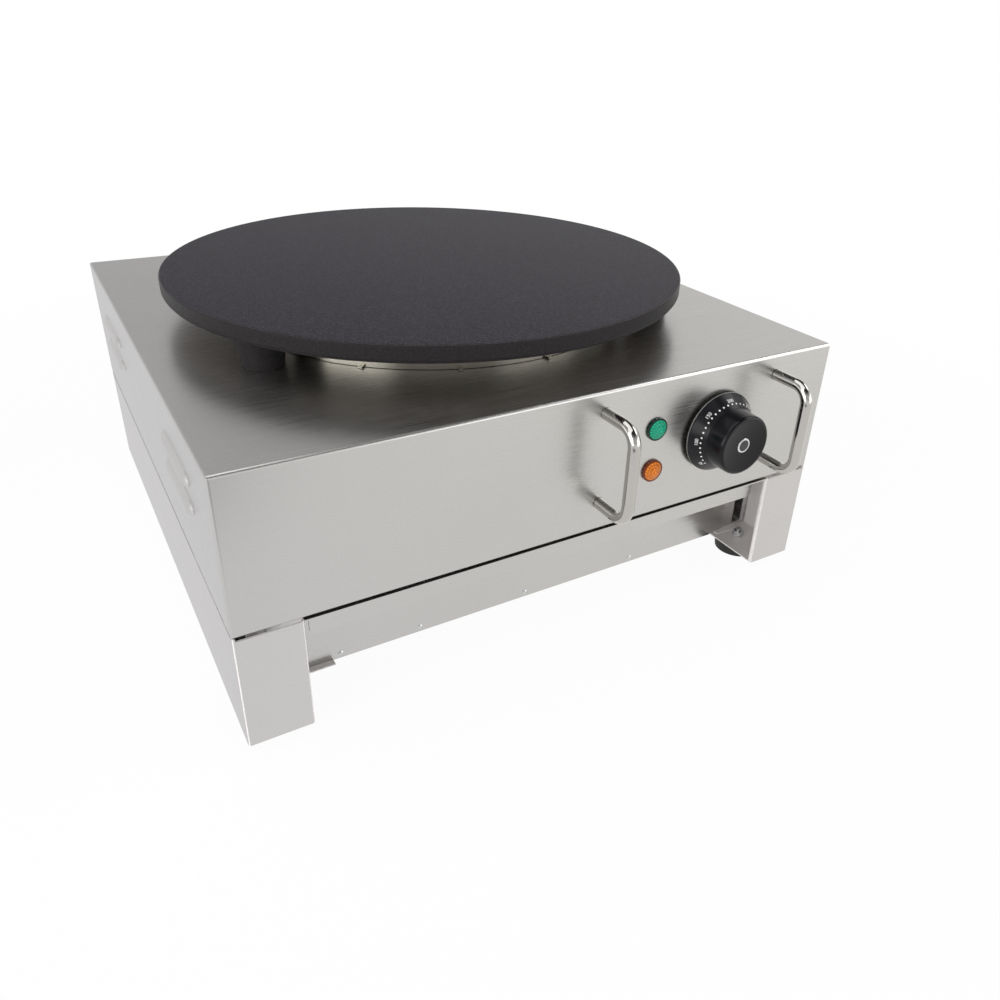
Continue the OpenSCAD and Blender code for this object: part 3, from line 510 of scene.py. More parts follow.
@dataclass(frozen=True)
class Moulding(Finish):
    """Moulded plastic or rubber with a fine grain and a little dust; its rear may be painted paler as
    painted light.
    """

    colour: Colour
    roughness: float
    grain: float = 0.35 * MM
    depth: float = 0.015 * MM
    dust: float = 0.04
    specular: float = 0.5
    back_colour: Colour | None = None
    back_range: Range = (-0.45, -0.25)
    dust_colour: Colour = (0.35, 0.34, 0.33)
    dust_range: Range = (0.5, 0.8)
    grain_rough: float = 0.14
    cloud_rough: float = 0.12
    cloud_scale: float = 45

    def dress(self, tree: ShaderTree) -> None:
        """Grain, dust and the painted light on the rear.

        Args:
            tree: the empty tree.
        """
        grain = tree.noise(1 / self.grain, detail=2.0)
        clouds = tree.noise(self.cloud_scale, detail=4.0)
        dusty = clouds.step(*self.dust_range) * self.dust
        colour = self.colour
        # painted light: faces that look to the rear, towards the panel, are drawn paler than the black
        # moulding, so the shaded gap behind the dial looks lit where the panel reflects it
        if self.back_colour:
            rearward = tree.normal()[1].step(*self.back_range)
            colour = tree.mix(rearward, colour, self.back_colour)
        tree.surface(
            Base_Color=tree.mix(dusty, colour, self.dust_colour),
            Roughness=self.roughness + grain.swing(self.grain_rough) + clouds.swing(self.cloud_rough),
            Specular_IOR_Level=self.specular,
            Normal=tree.bump(grain, self.depth, strength=0.7),
        )


@dataclass(frozen=True)
class Fibre(Finish):
    """Pressed mineral board."""

    colour: Colour = (0.70, 0.68, 0.62)
    gap_colour: Colour = (0.42, 0.40, 0.36)
    gap_level: float = 0.3
    strand_scale: Place = (500, 500, 1500)
    strand_rough: float = 0.2
    roughness: float = 0.8
    relief_depth: float = 0.3 * MM

    def dress(self, tree: ShaderTree) -> None:
        """Strands with darker gaps.

        Args:
            tree: the empty tree.
        """
        strands = tree.noise(self.strand_scale, detail=5.0, rough=0.7)
        tree.surface(
            Base_Color=tree.mix((strands - self.gap_level).clamped(), self.colour, self.gap_colour),
            Roughness=self.roughness + strands.swing(self.strand_rough),
            Normal=tree.bump(strands, self.relief_depth),
        )


@dataclass(frozen=True)
class SignalLens(Finish):
    """Clear coloured lens with prisms round its inside and a dark ring at its edge; painted light makes the
    prism ridges lighter and the grooves darker, and a faint painted glow shows through it.
    """

    colour: Colour
    deep: Colour
    centre: Place
    radius: float = 8.3 * MM
    prisms: float = 18.0
    prism_range: Range = (0.15, 0.6)
    ring_turns: float = 26.0
    ring_share: float = 0.6
    edge_range: Range = (0.80, 0.88)
    groove_share: float = 0.55
    ridge_share: float = 1.3
    cut_depth: float = 0.9 * MM
    cut_rough: float = 0.08
    roughness: float = 0.12

    def dress(self, tree: ShaderTree) -> None:
        """Prisms and rings with painted light and shade on them, the dark edge and a painted glow, about
        the lens's axis.

        Args:
            tree: the empty tree.
        """
        x, z = tree.across(self.centre)
        radius = x.length(z) / self.radius
        wave = (x.arctan(z) * self.prisms).sine()
        rings = (radius * self.ring_turns).sine()
        cut = (wave * radius.step(*self.prism_range) + rings * self.ring_share) * 0.5 + 0.5
        edge = radius.step(*self.edge_range)
        # painted light and shade: ridges of the prism cut are drawn lighter than the lens colour and
        # grooves darker
        glow = tree.mix(cut, scaled(self.colour, self.groove_share), scaled(self.colour, self.ridge_share))
        tree.surface(
            Base_Color=tree.mix(edge, glow, self.deep),
            Roughness=self.roughness + cut * self.cut_rough,
            IOR=1.49,
            Specular_IOR_Level=0.25,
            Coat_Weight=0.15,
            Coat_Roughness=0.04,
            # painted glow: a faint emission in the lens colour that stands for light coming through the
            # lens
            Emission_Color=tree.mix(edge, self.colour, self.deep),
            Emission_Strength=0.12,
            Normal=tree.bump(cut, self.cut_depth, strength=0.8),
        )


@dataclass(frozen=True)
class RingedDisc(Finish):
    """Satin disc with a plain black middle."""

    centre: Place
    colour: Colour = (0.72, 0.73, 0.75)
    dark_colour: Colour = (0.02, 0.021, 0.025)
    dark_radius: float = 4.2 * MM
    soft_edge: float = 0.1 * MM
    spin_scale: float = 1500
    spin_rough: float = 0.2
    roughness: float = 0.3

    def dress(self, tree: ShaderTree) -> None:
        """Metal outside the dark radius, about the disc's axis.

        Args:
            tree: the empty tree.
        """
        x, z = tree.across(self.centre)
        metal = x.length(z).step(self.dark_radius - self.soft_edge, self.dark_radius + self.soft_edge)
        spun = tree.noise(self.spin_scale, detail=2.0)
        tree.surface(
            Base_Color=tree.mix(metal, self.dark_colour, self.colour),
            Metallic=metal,
            Roughness=self.roughness + spun.swing(self.spin_rough),
        )


@dataclass(frozen=True)
class Ink(Finish):
    """White printing, a little worn."""

    colour: Colour = (0.82, 0.83, 0.82)
    worn_colour: Colour = (0.40, 0.41, 0.42)
    worn_share: float = 0.5
    wear_scale: float = 1800
    wear_range: Range = (0.55, 0.8)
    wear_rough: float = 0.2
    roughness: float = 0.5

    def dress(self, tree: ShaderTree) -> None:
        """Plain white with worn patches.

        Args:
            tree: the empty tree.
        """
        wear = tree.noise(self.wear_scale).step(*self.wear_range)
        tree.surface(
            Base_Color=tree.mix(wear * self.worn_share, self.colour, self.worn_colour),
            Roughness=self.roughness + wear * self.wear_rough,
        )


# ---- mesh tools ----


@dataclass
class Piece:
    """A mesh under construction, in metres in the frame's own axes."""

    name: str
    mesh: bmesh.types.BMesh = field(default_factory=bmesh.new)

    def lathe(self, profile: Sequence[Range], steps: int) -> "Piece":
        """Turns a profile round the local Z axis.

        Args:
            profile: radius and height of each point, from the axis below to the axis above.
            steps: number of facets.

        Returns:
            This piece.
        """
        angles = [2 * math.pi * i / steps for i in range(steps)]
        rings = []
        for radius, height in profile:
            spots = [(0, 0, height)]
            if radius >= POLE_RADIUS:
                spots = [(radius * math.cos(a), radius * math.sin(a), height) for a in angles]
            rings.append([self.mesh.verts.new(spot) for spot in spots])
        for low, high in zip(rings, rings[1:]):
            for i in range(steps):
                j = (i + 1) % steps
                corners = (low[i % len(low)], low[j % len(low)], high[j % len(high)], high[i % len(high)])
                unique = list(dict.fromkeys(corners))
                if len(unique) > 2:
                    self.mesh.faces.new(unique)
        return self

    def box(self, low: Sequence[float], high: Sequence[float]) -> None:
        """Adds a box.

        Args:
            low: its lowest corner.
            high: its highest corner.
        """
        size = Vector(high) - Vector(low)
        middle = (Vector(high) + Vector(low)) / 2
        matrix = Matrix.Translation(middle) @ Matrix.Diagonal((*size, 1))
        bmesh.ops.create_cube(self.mesh, size=1.0, matrix=matrix)

    def finish(self, material: Material, smooth_deg: float | None = SMOOTH_DEG) -> Object:
        """Makes the object.

        Args:
            material: its finish.
            smooth_deg: edges flatter than this are shaded smooth; None keeps facets.

        Returns:
            The object, at the origin.
        """
        bmesh.ops.remove_doubles(self.mesh, verts=self.mesh.verts, dist=WELD)
        bmesh.ops.recalc_face_normals(self.mesh, faces=self.mesh.faces)
        data = bpy.data.meshes.new(self.name)
        self.mesh.to_mesh(data)
        self.mesh.free()
        return place(self.name, data, material, smooth_deg)


def link(name: str, data: bpy.types.ID | None) -> Object:
    """Adds an object to the scene.

    Args:
        name: the object's name.
        data: its mesh, curve, lamp or camera.

    Returns:
        The object, at the origin.
    """
    item = bpy.data.objects.new(name, data)
    bpy.context.scene.collection.objects.link(item)
    return item


def place(name: str, data: Mesh, material: Material,
          smooth_deg: float | None = SMOOTH_DEG) -> Object:
    """Adds a mesh to the scene with its finish.

    Args:
        name: the object's name.
        data: its mesh.
        material: its finish.
        smooth_deg: edges flatter than this are shaded smooth; None keeps facets.

    Returns:
        The object, at the origin.
    """
    data.materials.clear()
    data.materials.append(material)
    piece = link(name, data)
    if smooth_deg is not None:
        data.polygons.foreach_set("use_smooth", [True] * len(data.polygons))
        data.set_sharp_from_angle(angle=math.radians(smooth_deg))
    return piece


def plain_mesh(item: Object) -> Mesh:
    """Turns an object with modifiers, or a text, into a plain mesh.

    Args:
        item: the object; it is removed.

    Returns:
        The mesh.
    """
    graph = bpy.context.evaluated_depsgraph_get()
    graph.update()
    data = bpy.data.meshes.new_from_object(item.evaluated_get(graph), depsgraph=graph)
    bpy.data.objects.remove(item)
    return data


def carry(piece: Object, body: str, slot: str, *stands_for: str) -> None:
    """Fixes a piece to a body of the frame and reports it.

    Args:
        piece: the finished object.
        body: the body that it rides on.
        slot: not used.
        stands_for: CAD nodes that it replaces.
    """
    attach(piece, body)
    if stands_for:
        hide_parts(*stands_for)
    log.info("%s: %d faces on %s", piece.name, len(piece.data.polygons), body)


# ---- geometry nodes ----


class Scatter(NodeTree):
    """A geometry tree with named inputs that repeats an item and is baked into a plain mesh."""

    def __init__(self, name: str, item: Object, material: Material) -> None:
        """Starts an empty tree.

        Args:
            name: name of the result.
            item: the object to repeat; baking removes it.
            material: the finish of the result.
        """
        super().__init__(bpy.data.node_groups.new(name + "_tree", "GeometryNodeTree"))
        for side in ("OUTPUT", "INPUT"):
            self.tree.interface.new_socket("Geometry", in_out=side, socket_type="NodeSocketGeometry")
        self.entry = self.tree.nodes.new("NodeGroupInput")
        self.values: dict[str, Any] = {}
        self.name = name
        self.item = item
        self.material = material

    def given(self, name: str, value: Any, kind: str = "NodeSocketFloat") -> Value:
        """Adds a named input.

        Args:
            name: what the input is.
            value: what the modifier gives it.
            kind: its socket type.

        Returns:
            The input inside the tree.
        """
        item = self.tree.interface.new_socket(name, in_out="INPUT", socket_type=kind)
        self.values[item.identifier] = value
        return Value(self, next(out for out in self.entry.outputs if out.identifier == item.identifier))

    def copies(self, points: NodeSocket, turn: Any) -> NodeSocket:
        """Instances of the item, turned, at every point."""
        inputs = {"Points": points, "Instance": self.entry.outputs["Geometry"], "Rotation": turn}
        return self.node("GeometryNodeInstanceOnPoints", inputs).outputs[0]

    def bake(self, instances: NodeSocket) -> Mesh:
        """Ends the tree and runs it on the item.

        Args:
            instances: the copies.

        Returns:
            Their plain mesh.
        """
        finish = self.given("Finish", self.material, "NodeSocketMaterial")
        real = self.node("GeometryNodeRealizeInstances", {"Geometry": instances}).outputs[0]
        dressed = self.node("GeometryNodeSetMaterial", {"Geometry": real, "Material": finish}).outputs[0]
        self.node("NodeGroupOutput", {0: dressed})
        modifier = self.item.modifiers.new(self.name, "NODES")
        modifier.node_group = self.tree
        for identifier, value in self.values.items():
            modifier[identifier] = value
        data = plain_mesh(self.item)
        data.name = self.name
        return data

    def ring(self, count: int, radius: float, start: float, step: float) -> Mesh:
        """Repeats the item on a circle about the Y axis, each turned with its place.

        Args:
            count: how many.
            radius: the circle's radius.
            start: angle of the first one, from the top, clockwise from the front.
            step: angle between neighbours.

        Returns:
            The repeated mesh, about the origin.
        """
        number = self.given("Count", count, "NodeSocketInt")
        reach = self.given("Radius", radius)
        first = self.given("Start angle", start)
        pitch = self.given("Step angle", step)
        index = Value(self, self.node("GeometryNodeInputIndex").outputs[0])
        angle = first + index * pitch
        parts = {"X": reach * angle.sine(), "Z": reach * angle.cosine()}
        spot = self.node("ShaderNodeCombineXYZ", parts).outputs[0]
        turn = self.node("ShaderNodeCombineXYZ", {"Y": angle}).outputs[0]
        points = self.node("GeometryNodePoints", {"Count": number, "Position": spot}).outputs[0]
        return self.bake(self.copies(points, turn))

    def at(self, spots: Sequence[Vector], turn: Place, seed: int) -> Mesh:
        """Repeats the item at given places, each spun at random about its own axis.

        Args:
            spots: the places.
            turn: rotation that lays the item's axis, which is Z, along its hole.
            seed: seed of the random spin.

        Returns:
            The repeated mesh.
        """
        holder = link(self.name + "_spots", bpy.data.meshes.new(self.name + "_spots"))
        holder.data.from_pydata([tuple(spot) for spot in spots], [], [])
        places = self.given("Places", holder, "NodeSocketObject")
        lean = self.given("Lean", turn, "NodeSocketVector")
        shuffle = self.given("Seed", seed, "NodeSocketInt")
        # sockets 2 and 3 are the least and the most of a random float, and output 1 is the float
        draw = {"Seed": shuffle, 2: 0.0, 3: 2 * math.pi}
        spin = self.node("FunctionNodeRandomValue", draw, data_type="FLOAT").outputs[1]
        own = self.node("ShaderNodeCombineXYZ", {"Z": spin}).outputs[0]
        cloud = self.node("GeometryNodeObjectInfo", {"Object": places}).outputs["Geometry"]
        points = self.node("GeometryNodeMeshToPoints", {"Mesh": cloud}).outputs[0]
        turned = {"Instances": self.copies(points, lean), "Rotation": own}
        data = self.bake(self.node("GeometryNodeRotateInstances", turned).outputs[0])
        bpy.data.objects.remove(holder)
        return data


# ---- sub-assemblies ----


@dataclass
class Dial:
    """Printed scale on the sloping dial: a dot every ten degrees of heat and a number every fifty."""

    ink: Material
    lowest: int = 50
    highest: int = 300
    topmost: int = 200
    step: int = 50
    number_pitch: float = math.radians(45)
    dots_per_number: int = 5
    dot_radius: float = 0.65 * MM
    dot_facets: int = 16
    dot_circle: float = 24.67 * MM
    text_circle: float = 26.3 * MM
    text_height: float = 2.7 * MM
    font_ratio: float = 1.35
    font_steps: int = 4
    ink_depth: float = 0.10 * MM
    rim_radius: float = 29.4 * MM
    rim_depth: float = 1.6 * MM
    slope: float = 9.8 / 6.8

    def __post_init__(self) -> None:
        """Reads the knob's axis and the panel side of the dial from the frame."""
        low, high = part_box("dial_skirt")
        self.centre = Vector(((low.x + high.x) / 2, high.y, (low.z + high.z) / 2))
        self.tilt = math.atan(self.slope)

    def _front(self, radius: float) -> float:
        """How far the sloping face stands in front of the panel side at a radius."""
        return self.rim_depth + (self.rim_radius - radius) * self.slope

    def _angle(self, value: int) -> float:
        """Place of a number on the dial, clockwise from the top."""
        return (value - self.topmost) // self.step * self.number_pitch

    def _wrap(self, point: Vector, circle: float, angle: float) -> Vector:
        """Lays a flat point on the sloping face.

        Args:
            point: X along the circle, Y inwards up the slope, Z above the surface.
            circle: radius at which Y is 0.
            angle: place on the dial, clockwise from the top.

        Returns:
            The place in the frame.
        """
        radius = circle + point.y * math.cos(self.tilt) + point.z * math.sin(self.tilt)
        around = angle + point.x / circle
        depth = self._front(circle) - point.y * math.sin(self.tilt) + point.z * math.cos(self.tilt)
        return self.centre + Vector((radius * math.sin(around), -depth, radius * math.cos(around)))

    def _number_mesh(self, value: int) -> Mesh:
        """Makes one number, bent onto the dial.

        Args:
            value: the number.

        Returns:
            The mesh.
        """
        curve = bpy.data.curves.new(f"number_{value}", "FONT")
        curve.body = str(value)
        curve.size = self.text_height * self.font_ratio
        curve.align_x = "CENTER"
        curve.align_y = "CENTER"
        curve.extrude = self.ink_depth
        curve.resolution_u = self.font_steps
        data = plain_mesh(link(curve.name, curve))
        for vertex in data.vertices:
            vertex.co = self._wrap(vertex.co, self.text_circle, self._angle(value))
        bpy.data.curves.remove(curve)
        return data

    def _numbers(self) -> Object:
        """Makes the numbers.

        Returns:
            All of them as one piece.
        """
        joined = Piece("dial_numbers")
        for value in range(self.lowest, self.highest + 1, self.step):
            data = self._number_mesh(value)
            joined.mesh.from_mesh(data)
            bpy.data.meshes.remove(data)
        return joined.finish(self.ink, None)

    def _dots(self) -> Object:
        """Makes the row of dots.

        Returns:
            All of them as one piece.
        """
        radius, half = self.dot_radius, self.ink_depth
        count = (self.highest - self.lowest) // self.step * self.dots_per_number + 1
        pitch = self.number_pitch / self.dots_per_number
        sine, cosine = math.sin(self.tilt), math.cos(self.tilt)
        profile = [(0, -half), (radius, -half), (radius, half), (0, half)]
        dot = Piece("dial_dots_one").lathe(profile, self.dot_facets)
        for vertex in dot.mesh.verts:
            # from Z to square with the sloping face at the top of the dial
            x, y, z = vertex.co
            vertex.co = (x, -z * cosine - y * sine, -y * cosine + z * sine)
        tree = Scatter("dial_dots", dot.finish(self.ink), self.ink)
        data = tree.ring(count, self.dot_circle, self._angle(self.lowest), pitch)
        data.transform(Matrix.Translation(self.centre + Vector((0, -self._front(self.dot_circle), 0))))
        return place("dial_dots", data, self.ink)

    def build(self) -> None:
        """Makes the scale and fixes it to the knob."""
        carry(self._dots(), "knob", "dial_print")
        carry(self._numbers(), "knob", "dial_print")


@dataclass
class CrossScrews:
    """Pan-head screws with cross recesses, in place of plain ones."""

    finish: Material
    head_radius: float = 3.7 * MM
    head_height: float = 2.2 * MM
    skirt_share: float = 0.3
    dome_share: float = 0.7
    dome_steps: int = 9
    facets: int = 32
    shank_radius: float = 2.0 * MM
    shank_length: float = 6.9 * MM
    tip_share: float = 0.7
    tip_length: float = 1 * MM
    recess_width: float = 1.1 * MM
    recess_reach: float = 2.1 * MM
    recess_depth: float = 1.5 * MM
    overshoot: float = 1 * MM

    def _screw(self, name: str) -> Object:
        """Makes one screw.

        Args:
            name: its name.

        Returns:
            The screw, its head's seat at the origin and its head towards +Z.
        """
        radius, height, low = self.head_radius, self.head_height, -self.shank_length
        slopes = [math.radians(90 * i / self.dome_steps) for i in range(self.dome_steps)]
        skirt, dome = height * self.skirt_share, height * self.dome_share
        profile = [(0, low), (self.shank_radius * self.tip_share, low),
                   (self.shank_radius, low + self.tip_length), (self.shank_radius, 0), (radius, 0),
                   *((radius * math.cos(a), skirt + dome * math.sin(a)) for a in slopes), (0, height)]
        head = Piece(name).lathe(profile, self.facets).finish(self.finish)
        cross = Piece(name + "_cross")
        reach, half = self.recess_reach, self.recess_width / 2
        floor, top = height - self.recess_depth, height + self.overshoot
        cross.box((-reach, -half, floor), (reach, half, top))
        cross.box((-half, -reach, floor), (half, reach, top))
        cutter = cross.finish(self.finish, None)
        cut = head.modifiers.new("cross", "BOOLEAN")
        cut.operation = "DIFFERENCE"
        cut.solver = "EXACT"
        cut.use_self = True
        cut.object = cutter
        data = plain_mesh(head)
        bpy.data.objects.remove(cutter)
        return place(name, data, self.finish)

    def build(self, node: str, lean: Place, seat: Callable[[Vector, Vector], Vector], seed: int) -> None:
        """Replaces the screws of one node.

        Args:
            node: the CAD node whose solids are screws of this size.
            lean: rotation that turns +Z towards the heads.
            seat: place of a head's seat from a solid's lowest and highest corner.
            seed: seed of the recesses' random turn.
        """
        spots = [seat(low, high) for low, high in islands(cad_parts[node].data)]
        tree = Scatter(node + "_cross", self._screw(node + "_one"), self.finish)
        screws = place(node + "_cross", tree.at(spots, lean, seed), self.finish)
        carry(screws, "cabinet", "zinc_plate", node)


def islands(data: Mesh) -> list[tuple[Vector, Vector]]:
    """Boxes of a mesh's separate solids.

    Args:
        data: the mesh, whose triangles may be loose.

    Returns:
        Lowest and highest corner of each solid.
    """
    solid = bmesh.new()
    solid.from_mesh(data)
    bmesh.ops.remove_doubles(solid, verts=solid.verts, dist=LOOSE_WELD)
    found, seen = [], set()
    for seed in solid.verts:
        if seed in seen:
            continue
        seen.add(seed)
        group, edge = [], [seed]
        while edge:
            vertex = edge.pop()
            group.append(vertex.co.copy())
            for joint in vertex.link_edges:
                other = joint.other_vert(vertex)
                if other not in seen:
                    seen.add(other)
                    edge.append(other)
        low = Vector([min(p[i] for p in group) for i in range(3)])
        high = Vector([max(p[i] for p in group) for i in range(3)])
        found.append((low, high))
    solid.free()
    return sorted(found, key=lambda pair: tuple(pair[0]))


@dataclass
class Cabinet:
    """Gives each carried-over node its finish."""

    finishes: Mapping[str, Material]
    nodes: Mapping[str, Sequence[str]] = field(default_factory=lambda: {
        "sheet": ("top_cover", "kick_panel", "chassis_pan", "bottom_plate", "rear_panel"),
        "plinth": ("base_left", "base_right"),
        "iron": ("griddle_plate",),
        "bar": ("left_handle", "right_handle"),
        "zinc": ("plate_bolts", "plate_washers", "element_clamp", "clamp_stud", "clamp_nut",
                 "foot_screws", "foot_nuts", "handle_screws", "handle_washers", "thermostat_screws",
                 "chassis_screws", "kick_rivets", "bottom_screws", "rear_panel_screws", "cover_screws"),
        "bright": ("reflector_pan",),
        "scorched": ("heating_elements",),
        "copper": ("sensor_bulb",),
        "fibre": ("insulation_disc",),
        "rubber": ("rubber_feet",),
        "green": ("green_lens",),
        "amber": ("amber_lens",),
        "dial": ("dial_skirt",),
        "black": ("light_bodies", "light_nuts", "cable_gland", "gland_locknut"),
        "grip": ("knob_cap",),
        "disc": ("cap_disc",),
        "brass": ("thermostat_shaft", "terminal_screws"),
        "ceramic": ("terminal_block",),
        "case": ("thermostat_body",),
    })

    def build(self) -> None:
        """Dresses every node."""
        for finish, names in self.nodes.items():
            for name in names:
                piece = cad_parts[name]
                for slot in piece.material_slots:
                    slot.material = self.finishes[finish]
                log.info("%s wears %s", name, finish)


# ---- studio ----


@dataclass(frozen=True)
class Softbox:
    """A rectangular lamp."""

    name: str
    spot: Place
    aim: Place
    size: Range
    watts: float

    def build(self) -> None:
        """Hangs the lamp and turns it to its aim."""
        light = bpy.data.lights.new(self.name, "AREA")
        light.shape = "RECTANGLE"
        light.size, light.size_y = self.size
        light.energy = self.watts
        lamp = link(self.name, light)
        lamp.location = self.spot
        lamp.rotation_euler = (Vector(self.aim) - Vector(self.spot)).to_track_quat("-Z", "Y").to_euler()


@dataclass(frozen=True)
class View:
    """The camera, at the place and angle from which the object is shown."""

    right: Place = (0.8569, -0.5143, 0.0368)
    up: Place = (0.2194, 0.4282, 0.8768)
    back: Place = (-0.4667, -0.7432, 0.4797)
    spot: Place = (-0.28502, -0.60957, 0.40484)
    sensor_mm: float = 36.0
    lens_mm: float = 30.29
    shift: Range = (-0.0263, -0.0264)
    nearest: float = 0.01

    def build(self) -> None:
        """Sets up the camera."""
        data = bpy.data.cameras.new("view")
        data.sensor_width = self.sensor_mm
        data.lens = self.lens_mm
        data.shift_x, data.shift_y = self.shift
        data.clip_start = self.nearest
        camera = link("view", data)
        turn = Matrix((self.right, self.up, self.back)).transposed().to_4x4()
        camera.matrix_world = Matrix.Translation(self.spot) @ turn
        bpy.context.scene.camera = camera


LAMPS = (
    Softbox("key_softbox", (-0.5, 0.0, 1.9), (0.0, 0.0, 0.15), (2.0, 1.6), 17.0),
    Softbox("left_softbox", (-1.6, -0.6, 1.2), (0.0, 0.0, 0.15), (1.0, 1.4), 6.0),
    Softbox("low_softbox", (-1.5, -0.65, 0.45), (0.1, -0.2, 0.08), (1.3, 0.8), 10.0),
    Softbox("right_softbox", (1.35, -0.6, 1.45), (0.1, -0.2, 0.15), (0.9, 0.7), 7.0),
    Softbox("front_softbox", (1.1, -1.4, 0.45), (0.1, -0.2, 0.12), (1.6, 0.8), 6.0),
)


@dataclass
class Studio:
    """Pale floor, soft lamps, surroundings and camera."""

    floor_half: float = 30.0
    floor_colour: Colour = (0.86, 0.86, 0.86)
    near_glow: float = 0.95
    glow_range: Range = (0.45, 1.1)
    # painted shade patch of the floor in reflections: centre, radius, share of the radius at full depth,
    # and depth
    shade_spot: Range = (-0.40, -0.72)
    shade_radius: float = 0.32
    shade_core: float = 0.7
    shade_depth: float = 0.60
    left_white: Colour = (0.98, 0.972, 0.978)
    right_white: Colour = (1.0, 0.987, 0.958)
    white_range: Range = (-0.25, 0.35)
    left_wall: Colour = (0.65, 0.645, 0.645)
    right_wall: Colour = (1.0, 0.99, 0.97)
    wall_range: Range = (0.05, 0.75)
    low_range: Range = (0.10, 0.19)
    overhead: Colour = (0.05, 0.05, 0.05)
    overhead_range: Range = (0.44, 0.78)

    @staticmethod
    def _rays(tree: ShaderTree, *kinds: str) -> Value:
        """1 for rays of the given kinds.

        Args:
            tree: the tree.
            kinds: outputs of the Light Path node.

        Returns:
            The sum, at most 1.
        """
        path = tree.node("ShaderNodeLightPath")
        total = Value(tree, path.outputs[kinds[0]])
        for kind in kinds[1:]:
            total = total + Value(tree, path.outputs[kind])
        return total.clamped()

    def _floor(self) -> None:
        """A wide pale floor that keeps a soft shadow near the object and fades to white; seen in
        reflections only, it has a painted shade patch in front of the object.
        """
        half = self.floor_half
        sheet = Piece("studio_floor")
        corners = ((-half, -half, 0), (half, -half, 0), (half, half, 0), (-half, half, 0))
        sheet.mesh.faces.new([sheet.mesh.verts.new(corner) for corner in corners])
        material = bpy.data.materials.new("studio_floor")
        tree = ShaderTree(material)
        seen = self._rays(tree, "Is Camera Ray", "Is Glossy Ray", "Is Transmission Ray")
        glossy = self._rays(tree, "Is Glossy Ray")
        x, y, _ = tree.split(tree.point())
        glow = self.near_glow + x.length(y).step(*self.glow_range) * (1.0 - self.near_glow)
        # painted shade: a dark patch of floor that only glossy rays see, which darkens the floor's
        # reflection in the panel and the bars
        spot_x, spot_y = self.shade_spot
        reach = (x - spot_x).length(y - spot_y)
        edge = self.shade_radius
        shade = (1.0 - reach.step(self.shade_core * edge, edge)) * self.shade_depth
        tint = tree.mix(x.step(*self.white_range), self.left_white, self.right_white)
        tone = tree.mix(glossy, WHITE, tint)
        matt = tree.node("ShaderNodeBsdfDiffuse", {"Color": self.floor_colour}).outputs[0]
        light = {"Color": tone, "Strength": 1.0 - shade * glossy}
        white = tree.node("ShaderNodeEmission", light).outputs[0]
        mixed = tree.node("ShaderNodeMixShader", {0: seen * glow, 1: matt, 2: white})
        tree.node("ShaderNodeOutputMaterial", {0: mixed.outputs[0]})
        sheet.finish(material, None)

    def _world(self) -> None:
        """White to the camera; in reflections white low down, walls brighter at the right, dark above."""
        world = bpy.data.worlds.new("studio_world")
        bpy.context.scene.world = world
        tree = ShaderTree(world)
        x, _, z = tree.split(tree.node("ShaderNodeTexCoord").outputs["Generated"])
        walls = tree.mix(x.step(*self.wall_range), self.left_wall, self.right_wall)
        room = tree.mix(z.step(*self.overhead_range), walls, self.overhead)
        around = tree.mix(z.step(*self.low_range), WHITE, room)
        colour = tree.mix(self._rays(tree, "Is Camera Ray"), around, WHITE)
        background = tree.node("ShaderNodeBackground", {"Color": colour, "Strength": 1.0})
        tree.node("ShaderNodeOutputWorld", {0: background.outputs[0]})

    def build(self) -> None:
        """Sets up the whole studio."""
        bpy.context.scene.view_settings.view_transform = "Standard"
        View().build()
        self._floor()
        self._world()
        for lamp in LAMPS:
            lamp.build()


# ---- assembly ----


def centre_of(node: str) -> Place:
    """Middle of a CAD node, for a pattern about its axis."""
    low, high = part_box(node)
    return tuple((low + high) / 2)


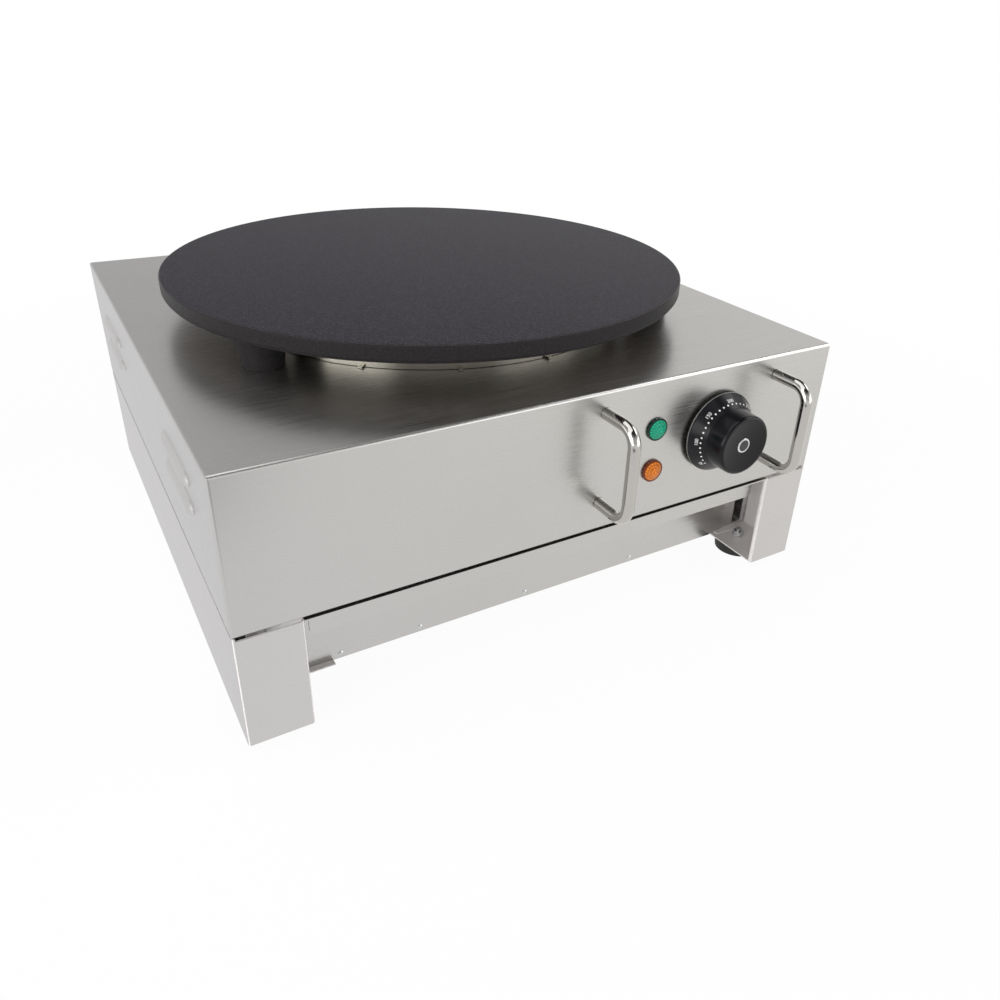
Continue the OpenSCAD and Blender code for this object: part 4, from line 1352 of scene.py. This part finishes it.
def make_finishes() -> dict[str, Material]:
    """Makes every finish.

    Returns:
        The materials by a short name.
    """
    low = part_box("base_left")[0]
    skin = 0.3 * MM
    finishes: dict[str, Finish] = {
        "sheet": BrushedSheet("brushed_sheet"),
        "plinth": BrushedSheet("plinth_sheet", (0.66, 0.648, 0.64), skin_x=-low.x - skin,
                               skin_front=low.y + skin, skin_rear=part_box("kick_panel")[0].y + skin),
        "iron": CastIron("cast_iron_plate"),
        "bar": PlainMetal("polished_bar", (0.50, 0.487, 0.465), 0.09, 0.14, 0.5 * MM, (1, 1, 0.1)),
        "zinc": PlainMetal("zinc_plate", (0.60, 0.61, 0.62), 0.30, 0.20),
        "bright": PlainMetal("bright_reflector", (0.34, 0.325, 0.28), 0.20, 0.45, 1.5 * MM),
        "scorched": PlainMetal("scorched_tube", (0.22, 0.20, 0.18), 0.45, 0.5),
        "copper": PlainMetal("drawn_copper", (0.72, 0.40, 0.26), 0.28, 0.3),
        "brass": PlainMetal("turned_brass", (0.70, 0.55, 0.26), 0.25, 0.2),
        "fibre": Fibre("mineral_fibre"),
        "rubber": Moulding("foot_rubber", (0.012, 0.012, 0.013), 0.62, 0.5 * MM, 0.03 * MM, 0.10, 0.4),
        "black": Moulding("black_moulding", (0.012, 0.012, 0.014), 0.30, 0.3 * MM, 0.006 * MM, 0.02, 0.35),
        # the dial's rear colour is painted light for the shaded gap between dial and panel
        "dial": Moulding("dial_moulding", (0.007, 0.007, 0.009), 0.26, 0.3 * MM, 0.006 * MM, 0.02, 0.20,
                         (0.20, 0.196, 0.19)),
        "grip": Moulding("grip_moulding", (0.004, 0.004, 0.006), 0.22, 0.3 * MM, 0.004 * MM, 0.01, 0.24),
        "case": Moulding("case_moulding", (0.40, 0.38, 0.33), 0.5),
        "ceramic": Moulding("glazed_ceramic", (0.78, 0.75, 0.68), 0.2),
        "green": SignalLens("green_lens", (0.0, 0.36, 0.20), (0.0, 0.020, 0.012), centre_of("green_lens")),
        "amber": SignalLens("amber_lens", (0.72, 0.19, 0.01), (0.12, 0.02, 0.0), centre_of("amber_lens")),
        "disc": RingedDisc("ringed_disc", centre_of("cap_disc")),
        "ink": Ink("dial_ink"),
    }
    return {key: finish.make() for key, finish in finishes.items()}


def dress_screws(zinc: Material) -> None:
    """Puts cross-recessed screws in place of the plain ones that show.

    Args:
        zinc: the screws' finish.
    """
    screws = CrossScrews(zinc)
    rearward = (-math.pi / 2, 0.0, 0.0)
    downward = (math.pi, 0.0, 0.0)

    def behind(low: Vector, high: Vector) -> Vector:
        """Seat of a screw whose head looks to the rear."""
        return Vector(((low.x + high.x) / 2, high.y - screws.head_height, (low.z + high.z) / 2))

    def below(low: Vector, high: Vector) -> Vector:
        """Seat of a screw whose head looks down."""
        return Vector(((low.x + high.x) / 2, (low.y + high.y) / 2, low.z + screws.head_height))

    screws.build("rear_panel_screws", rearward, behind, seed=3)
    screws.build("cover_screws", rearward, behind, seed=5)
    screws.build("bottom_screws", downward, below, seed=7)


def main() -> None:
    """Builds the whole scene in order."""
    logging.basicConfig(level=logging.INFO, format="%(name)s %(message)s")
    Studio().build()
    finishes = make_finishes()
    Cabinet(finishes).build()
    Dial(finishes["ink"]).build()
    dress_screws(finishes["zinc"])


if __name__ == "__main__":
    main()
